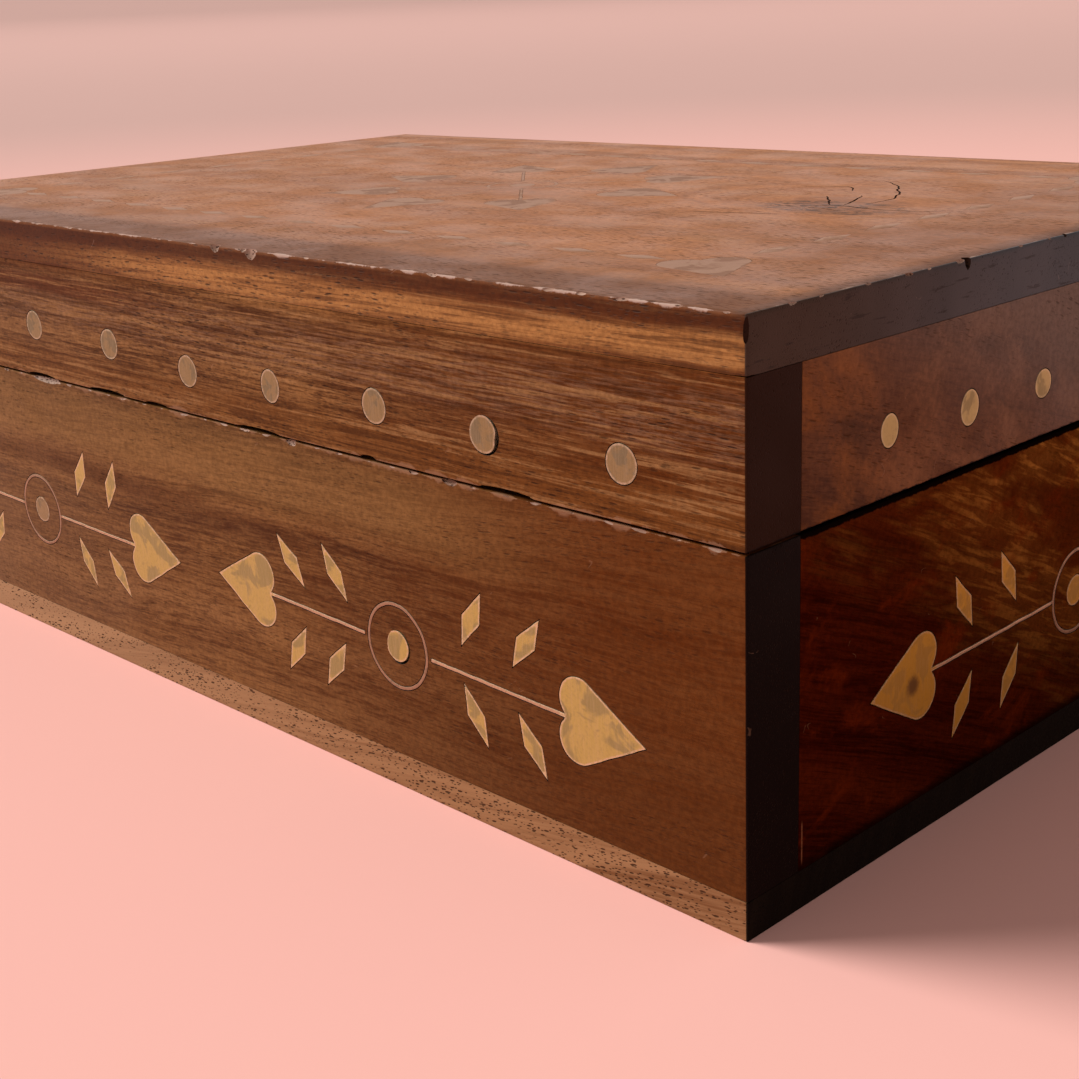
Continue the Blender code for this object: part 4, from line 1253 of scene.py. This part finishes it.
# What the photo shows of single dots: width and height as shares of the regular dot
DOT_SHAPES = {
    "lid_front_dot_6": (0.87, 1.0), "lid_side_dot_1": (0.74, 0.86), "lid_side_dot_2": (0.83, 0.95),
    "lid_side_dot_3": (0.83, 0.80), "lid_side_dot_4": (0.86, 0.90), "lid_side_dot_5": (0.80, 0.88),
    "lid_side_dot_6": (0.84, 0.84),
}
BITTEN_DOT = "lid_front_dot_8"
LOOSE_DOT = "front_right_centre_dot"
LOOSE_SHIFT = Vector((0.24 * MM, -0.06 * MM))


def figure_parts(outlines, centre):
    """Where a figure's wires end, to the left and right of its middle, and how far its ring reaches."""
    points = [point - centre for outline in outlines for point in outline]
    ends = []
    for side in (-1, 1):
        reach = max((p.length for p in points if p.x * side > 0), default=0.0)
        end = reach - HEART_LENGTH - 0.05 * MM
        ends.append(end if end > RING_REACH else 0.0)
    return centre, ends


def part_material(place, parts):
    """The material number of a place in a figure: 0 for a heart, 1 for a wire and 2 for the ring."""
    centre, ends = parts
    away = place - centre
    if away.length < RING_REACH:
        return 2
    return 1 if abs(away.x) < ends[1 if away.x > 0 else 0] else 0


def figure_middle(node, face):
    """The place of the centre dot of the figure that a piece belongs to, in its face."""
    if "rosette" in node:
        dot = "lid_top_rosette_dot"
    elif node.startswith("front_right"):
        dot = "front_right_centre_dot"
    else:
        dot = node.replace("hearts_and_ring", "centre_dot")
    low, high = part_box(dot)
    return (face.inverted() @ ((low + high) / 2)).to_2d()


def hand_made_outlines(node, face, seed):
    """A CAD brass node's outlines with the shape that the hand gave it, and the parts of its figure."""
    outlines = [finer_outline(outline) for outline in cad_outlines(node, face)]
    if "leaf" in node:
        outlines = [skewed_leaf(outline) for outline in outlines]
    parts = None
    if "heart" in node or node.endswith("right_ring"):
        parts = figure_parts(outlines, figure_middle(node, face))
    return [hand_sawn(outline, seed) for outline in outlines], parts


def lay_cad_node(node, face, board, materials, seed):
    """A CAD brass node as a finer piece."""
    outlines, parts = hand_made_outlines(node, face, seed)
    pocket = None
    if node in DOT_SHAPES:
        outlines = [squashed(outlines[0], *DOT_SHAPES[node])]
    if node == BITTEN_DOT:
        pocket = [squashed([point + LOOSE_SHIFT for point in outlines[0]], 1.05, 1.0)]
        outlines = [bitten(outlines[0], -0.15, 0.12, 0.35)]
    if node == LOOSE_DOT:
        pocket = [squashed([point + LOOSE_SHIFT for point in outlines[0]], 1.0, 1.04)]
    lay_brass(f"{node}", outlines, face, board, materials, (node,), parts, pocket)


def lay_left_copy(node, seed):
    """The left side carries the same figure and dots as the right side, laid afresh."""
    outlines, parts = hand_made_outlines(node, RIGHT, seed)
    board = "lid_left_board" if "lid" in node else "base_left_board"
    name = node.replace("lid_side", "lid_left").replace("side_", "left_")
    lay_brass(name, outlines, LEFT, board, SIDE_DOTS if "lid" in node else SIDE_BRASS, parts=parts)


FRONT_BRASS = [BRASSES["figures"], BRASSES["wires"], BRASSES["rings"]]
SIDE_BRASS = [BRASSES["side_figures"], BRASSES["wires"], BRASSES["rings"]]
SIDE_DOTS = [BRASSES["side_dots"]]


def lay_all_brass():
    brass_nodes = sorted(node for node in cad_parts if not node.endswith("_board"))
    for number, node in enumerate(brass_nodes):
        seed = 3.1 * number
        if node.startswith("lid_front"):
            lay_cad_node(node, FRONT, "lid_front_board", [BRASSES["dots"]], seed)
        elif node.startswith("lid_side"):
            lay_cad_node(node, RIGHT, "lid_right_board", SIDE_DOTS, seed)
            lay_left_copy(node, seed + 200.0)
        elif node.startswith("lid_top"):
            lay_cad_node(node, TOP, "lid_top_board", [BRASSES["top"]], seed)
        elif node == "front_left_centre_dot":
            lay_cad_node(node, FRONT, "base_front_board", [BRASSES["dots"]], seed)
        elif node.startswith("front"):
            lay_cad_node(node, FRONT, "base_front_board", FRONT_BRASS, seed)
        else:
            lay_cad_node(node, RIGHT, "base_right_board", SIDE_BRASS, seed)
            lay_left_copy(node, seed + 200.0)


def pocket_fill(face):
    """What fills the gap round a piece, and how wide it is: on the lid's top it is nearly closed."""
    return ("filler", 0.01 * MM) if face is TOP else ("glue", POCKET_GAP)


def lay_row(name, face, board, count, pitch, sides, half_length, half_width, material, seed, matrix):
    """A generated row of inlays, and the pockets for it."""
    settings = {"Count": count, "Pitch": pitch, "Sides": sides, "Half Length": half_length,
                "Half Width": half_width, "Thickness": BRASS_THICKNESS, "Stray": 0.25 * MM, "Lean": 0.05,
                "Seed": seed, "Material": material}
    sunk = Matrix.Translation((0.0, 0.0, -BRASS_THICKNESS / 2))
    mesh = generated(ROW_TREE, name, settings, matrix=face @ matrix @ sunk, bevel=BRASS_EDGE)
    finish_piece(f"{name}_brass", mesh)
    filling, gap = pocket_fill(face)
    grown = {**settings, "Half Length": half_length + 2.2 * gap, "Half Width": half_width + 1.2 * gap,
             "Thickness": 2 * BRASS_THICKNESS, "Material": WOODS[filling]}
    POCKETS.setdefault(board, []).append(generated(ROW_TREE, name, grown, matrix=face @ matrix))


def lay_generated_rows():
    for side, y in (("front", -BORDER_Y), ("back", BORDER_Y)):
        place = Matrix.Translation((0.0, y, 0.0))
        lay_row(f"lid_border_{side}", TOP, "lid_top_board", 14, BORDER_LONG_PITCH, 4,
                BORDER_LEAF_LENGTH / 2, BORDER_LEAF_WIDTH / 2, BRASSES["top"], 11, place)
    for side, x in (("right", BORDER_X), ("left", -BORDER_X)):
        place = Matrix.Translation((x, 0.0, 0.0)) @ Matrix.Rotation(math.pi / 2, 4, "Z")
        lay_row(f"lid_border_{side}", TOP, "lid_top_board", 7, BORDER_SHORT_PITCH, 4,
                BORDER_LEAF_LENGTH / 2, BORDER_LEAF_WIDTH / 2, BRASSES["top"], 23, place)
    low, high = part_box("lid_front_dot_5")
    place = Matrix.Translation((0.0, (low.z + high.z) / 2, 0.0))
    radius = (high.x - low.x) / 2
    lay_row("lid_back_dots", BACK, "lid_back_board", 9, 20.0 * MM, 32, radius, radius, BRASSES["dots"],
            5, place)


def lay_corner_hearts():
    for x_side, x_name in ((1, "right"), (-1, "left")):
        for y_side, y_name in ((-1, "front"), (1, "back")):
            centre = (x_side * CORNER_HEART_X, y_side * CORNER_HEART_Y)
            heading = math.atan2(y_side * 0.8, x_side)
            outline = hand_sawn(heart_outline(centre, heading), 70.0 + 3 * x_side + y_side)
            lay_brass(f"lid_corner_heart_{y_name}_{x_name}", [outline], TOP, "lid_top_board",
                      [BRASSES["top"]])


# Chips, splinters and cracks, as places on the box in millimetres

def chip(place, size, material="broken", roughness=0.5, seed=1, tilt=0.25):
    """One chip: its middle, its half sizes along X, Y and Z, and what its broken face looks like."""
    middle = Vector(place) * MM
    settings = {"Start": middle, "End": middle, "Count": 1, "Size": Vector(size) * MM,
                "Roughness": roughness, "Tilt": tilt, "Seed": seed, "Material": WOODS[material]}
    return generated(CHIP_TREE, "chip", settings)


def chip_row(start, end, count, size, size_range, seed, material="broken", drift=1.5):
    settings = {"Start": Vector(start) * MM, "End": Vector(end) * MM, "Count": count,
                "Size": Vector(size) * MM, "Size Range": size_range, "Drift": drift * MM,
                "Roughness": 0.6, "Seed": seed, "Material": WOODS[material]}
    return generated(CHIP_TREE, "chips", settings)


X_END, Y_END = BOX_HIGH.x / MM, BOX_HIGH.y / MM
TOP_Z, LID_Z, BASE_Z = BOX_HIGH.z / MM, LID_BOTTOM / MM, BASE_TOP / MM

# Gaps where the lid's lower front edge is torn away: from X, to X, and how high
SEAM_GAPS = ((15.5, 25.0, 0.45), (41.0, 44.0, 0.5), (62.0, 71.0, 0.55), (-39.5, -31.5, 0.55),
             (-21.7, -12.0, 0.55), (-6.7, -1.0, 0.4), (-62.0, -55.0, 0.4), (-84.0, -77.0, 0.45))


def lid_front_chips():
    chips = []
    for number, (start, end, height) in enumerate(SEAM_GAPS):
        middle = ((start + end) / 2, -Y_END, LID_Z)
        chips.append(chip(middle, ((end - start) / 2, 1.1, 0.8 * height), "shadow_gap", 0.35, number, 0.0))
    return chips


def base_front_chips():
    chips = [
        chip((-34.3, -Y_END, BASE_Z), (3.8, 0.8, 0.62), seed=3, tilt=0.0),
        chip((27.0, -Y_END, BASE_Z), (1.1, 0.6, 0.6), seed=4),
        chip((57.0, -Y_END, BASE_Z), (1.4, 0.6, 0.55), seed=5),
    ]
    chips.append(chip_row((-96.0, -Y_END, BASE_Z), (96.0, -Y_END, BASE_Z), 40, (0.8, 0.16, 0.18), 0.6, 9,
                          drift=0.8))
    return chips


def lid_top_chips():
    chips = [
        chip((14.3, -Y_END, TOP_Z), (1.0, 0.8, 0.9), seed=6),
        chip((22.0, -Y_END, TOP_Z), (1.3, 0.7, 1.2), seed=7),
        chip((20.4, -Y_END, TOP_Z), (0.5, 0.5, 0.4), seed=8),
        chip((X_END, -26.8, TOP_Z), (0.9, 0.6, 1.2), "shadow_gap", seed=9),
        chip((X_END, -6.0, TOP_Z), (0.5, 0.35, 0.4), "shadow_gap", seed=10),
        chip((X_END, -Y_END, TOP_Z - 1.2), (0.35, 0.4, 1.6), "shadow_gap", seed=11),
    ]
    chips.append(chip_row((-97.0, -Y_END, TOP_Z), (97.0, -Y_END, TOP_Z), 34, (0.7, 0.26, 0.26), 0.6, 12))
    chips.append(chip_row((X_END, -58.0, TOP_Z), (X_END, 60.0, TOP_Z), 20, (0.22, 0.6, 0.24), 0.6, 13))
    chips.append(chip_row((-97.0, Y_END, TOP_Z), (97.0, Y_END, TOP_Z), 24, (0.7, 0.24, 0.24), 0.6, 14))
    chips.append(chip_row((-X_END, -60.0, TOP_Z), (-X_END, 60.0, TOP_Z), 16, (0.22, 0.6, 0.24), 0.6, 15))
    return chips + [knot_cracks(KNOT_CRACKS), knot_cracks(KNOT_BRANCHES)]


# The cracks of the knot in the lid, as points along them. Those that branch off are cut after the others.
KNOT_CRACKS = (
    ((46.0, -10.4), (51.0, -9.2), (56.4, -7.7), (60.0, -7.0)),
    ((52.0, -1.2), (57.2, 0.8), (60.2, 3.5), (63.0, 3.9), (65.6, 2.6), (71.9, 2.4), (77.0, 4.4)),
    ((43.5, 20.0), (49.0, 22.5), (51.8, 21.1), (53.6, 17.6)),
    ((49.3, 31.1), (55.0, 27.6), (58.8, 21.6), (62.4, 16.6), (64.3, 11.5), (64.0, 6.4)),
)
KNOT_BRANCHES = (
    ((57.2, 0.8), (61.0, 0.2), (66.0, -0.9)),
    ((60.2, 3.5), (56.4, 8.4), (53.5, 12.0)),
    ((62.0, 4.0), (60.0, 10.2), (57.6, 14.6)),
)


def knot_cracks(cracks):
    curve = bpy.data.curves.new("knot_cracks", "CURVE")
    curve.dimensions = "3D"
    for points in cracks:
        spline = curve.splines.new("NURBS")
        spline.points.add(len(points) - 1)
        for point, (x, y) in zip(spline.points, points):
            point.co = (x * MM, y * MM, BOX_HIGH.z, 1.0)
        spline.order_u = 3
        spline.use_endpoint_u = True
    settings = {"Half Width": 0.16 * MM, "Depth": 0.9 * MM, "Ragged": 1.2 * MM,
                "Material": WOODS["shadow_gap"]}
    return generated(CRACK_TREE, "knot_cracks", settings, data=curve)


CHIPS = {"lid_front_board": lid_front_chips, "base_front_board": base_front_chips,
         "lid_top_board": lid_top_chips}


# Boards

def vertex_count(length):
    return max(9, min(LONGEST_COUNT, round(length / VERTEX_SPACING)))


def cutter(name, meshes):
    obj = bpy.data.objects.new(name, joined_mesh(name, meshes))
    COLLECTION.objects.link(obj)
    return obj


def pocket_meshes(board):
    meshes = []
    for entry in POCKETS.get(board, []):
        if isinstance(entry, bpy.types.Mesh):
            meshes.append(entry)
            continue
        outlines, face = entry
        filling, gap = pocket_fill(face)
        mesh = outline_plate("pocket", outlines, -BRASS_THICKNESS - POCKET_GAP, BRASS_THICKNESS, grow=gap)
        mesh.materials.append(WOODS[filling])
        mesh.transform(face)
        meshes.append(mesh)
    return meshes


def make_board(node, wood, arris, seed):
    """A finer board in the place of a CAD board, with the pockets for its brass and its chips."""
    low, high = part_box(node)
    low, high = low - Vector(JOINTS[node][0]) * JOINT, high + Vector(JOINTS[node][1]) * JOINT
    size = high - low
    long_side = 50 * MM
    holder = bpy.data.objects.new(node, bpy.data.meshes.new(node))
    COLLECTION.objects.link(holder)
    shape = holder.modifiers.new("board", "NODES")
    shape.node_group = BOARD_TREE
    settings = {
        "Low": low, "High": high, "Vertices X": vertex_count(size.x), "Vertices Y": vertex_count(size.y),
        "Vertices Z": vertex_count(size.z), "Crowding": [0.55 if s > long_side else 0.9 for s in size],
        "Box Low": LID_LOW if "lid" in node else BASE_LOW, "Arris": arris, "Wear": ARRIS_WEAR,
        "Box High": LID_HIGH if "lid" in node else BASE_HIGH, "Joint Ease": JOINT_EASE,
        "Unevenness": UNEVENNESS, "Seed": seed, "Material": WOODS[wood],
    }
    for socket, value in settings.items():
        set_input(shape, socket, value)
    cutters = []
    pockets = pocket_meshes(node)
    if pockets:
        cutters.append(cutter(f"{node}_pockets", pockets))
    if node in CHIPS:
        cutters += [cutter(f"{node}_chips_{k}", [mesh]) for k, mesh in enumerate(CHIPS[node]())]
    for tool in cutters:
        cut = holder.modifiers.new(tool.name, "BOOLEAN")
        cut.operation = "DIFFERENCE"
        cut.solver = "EXACT"
        cut.material_mode = "TRANSFER"
        cut.object = tool
    mesh = plain_mesh(holder, f"{node}_worn")
    for tool in cutters:
        bpy.data.objects.remove(tool)
    finish_piece(f"{node}_worn", mesh, (node,))


# How far a board goes towards its neighbours, below and above along X, Y and Z: the joints look shut
JOINT = 0.27 * MM
JOINTS = {
    "lid_top_board": ((0, 0, 0), (0, 0, 0)),
    "lid_front_board": ((0, 0, 0), (0, 0, 1)),
    "lid_back_board": ((0, 0, 0), (0, 0, 1)),
    "lid_left_board": ((0, 1, 0), (0, 1, 1)),
    "lid_right_board": ((0, 1, 0), (0, 1, 1)),
    "base_front_board": ((0, 0, 1), (0, 0, 0)),
    "base_back_board": ((0, 0, 1), (0, 0, 0)),
    "base_left_board": ((0, 1, 1), (0, 1, 0)),
    "base_right_board": ((0, 1, 1), (0, 1, 0)),
    "base_bottom_board": ((0, 0, 0), (0, 0, 0)),
}
BOARDS = {
    "lid_top_board": ("lid_top", TOP_ARRIS), "lid_front_board": ("lid_front", FRONT_ARRIS),
    "lid_back_board": ("lid_front", FRONT_ARRIS), "lid_left_board": ("lid_side", SIDE_ARRIS),
    "lid_right_board": ("lid_side", SIDE_ARRIS), "base_front_board": ("base_front", FRONT_ARRIS),
    "base_back_board": ("base_front", FRONT_ARRIS), "base_left_board": ("base_side", SIDE_ARRIS),
    "base_right_board": ("base_side", SIDE_ARRIS), "base_bottom_board": ("raw", FRONT_ARRIS),
}


# Floor, light and camera

FLOOR_FLAT = 2.5
FLOOR_RISE = 0.022
SUN_FROM = (-0.875, -0.487)
SUN_HEIGHT = math.radians(40)


def make_floor():
    """A pale sheet that rises gently far behind the box, so that no horizon shows."""
    bm = bmesh.new()
    bmesh.ops.create_grid(bm, x_segments=2, y_segments=60, size=14.0)
    for vertex in bm.verts:
        beyond = max(0.0, vertex.co.y - FLOOR_FLAT)
        vertex.co.z = FLOOR_RISE * beyond ** 2
    bmesh.ops.rotate(bm, matrix=Matrix.Rotation(math.radians(45), 3, "Z"), verts=bm.verts)
    mesh = bpy.data.meshes.new("floor")
    bm.to_mesh(mesh)
    bm.free()
    mesh.shade_smooth()
    floor = bpy.data.objects.new("floor", mesh)
    COLLECTION.objects.link(floor)
    material, tree, shader = new_material("pale_floor")
    away = vector_calc(tree, "LENGTH", put(tree, "ShaderNodeTexCoord").outputs["Object"])
    # painted shade: the floor is painted darker and greyer farther from the box
    tint = mix(tree, ramp(tree, away, 0.2, 1.4), colour(0.84, 0.465, 0.42), colour(0.53, 0.345, 0.315))
    tree.links.new(tint, shader.inputs["Base Color"])
    shader.inputs["Roughness"].default_value = 0.9
    shader.inputs["Specular IOR Level"].default_value = 0.1
    mesh.materials.append(material)


def add_light(name, kind, place, target, energy, tint):
    data = bpy.data.lights.new(name, kind)
    data.energy = energy
    data.color = tint
    light = bpy.data.objects.new(name, data)
    light.location = place
    light.rotation_euler = (Vector(target) - Vector(place)).to_track_quat("-Z", "Y").to_euler()
    COLLECTION.objects.link(light)
    return data


def make_light():
    world = bpy.data.worlds.new("studio")
    world.use_nodes = True
    background = world.node_tree.nodes["Background"]
    background.inputs["Color"].default_value = colour(0.95, 0.83, 0.76)
    background.inputs["Strength"].default_value = 0.41
    bpy.context.scene.world = world
    sun = (SUN_FROM[0] * math.cos(SUN_HEIGHT), SUN_FROM[1] * math.cos(SUN_HEIGHT), math.sin(SUN_HEIGHT))
    key = add_light("window", "SUN", sun, (0.0, 0.0, 0.0), 3.95, (1.0, 0.96, 0.92))
    key.angle = math.radians(30)
    pale = add_light("pale_wall", "AREA", (-2.9, 2.9, 1.3), (0.0, 0.0, 0.1), 18.0, (1.0, 0.82, 0.78))
    pale.shape = "RECTANGLE"
    pale.size = 5.0
    pale.size_y = 1.6
    bpy.context.scene.view_settings.view_transform = "Standard"


LENS = 55.81
CAMERA_PLACE = (0.19572, -0.18446, 0.09466)
CAMERA_TURN = (71.932, 2.324, 45.26)


def make_camera():
    data = bpy.data.cameras.new("camera")
    data.lens = LENS
    data.sensor_width = 36.0
    data.clip_start = 0.01
    camera = bpy.data.objects.new("camera", data)
    camera.location = CAMERA_PLACE
    camera.rotation_euler = [math.radians(angle) for angle in CAMERA_TURN]
    COLLECTION.objects.link(camera)
    bpy.context.scene.camera = camera


make_camera()
make_floor()
make_light()
lay_all_brass()
lay_generated_rows()
lay_corner_hearts()
for number, (board, (wood, arris)) in enumerate(BOARDS.items()):
    make_board(board, wood, arris, 17.0 * number)
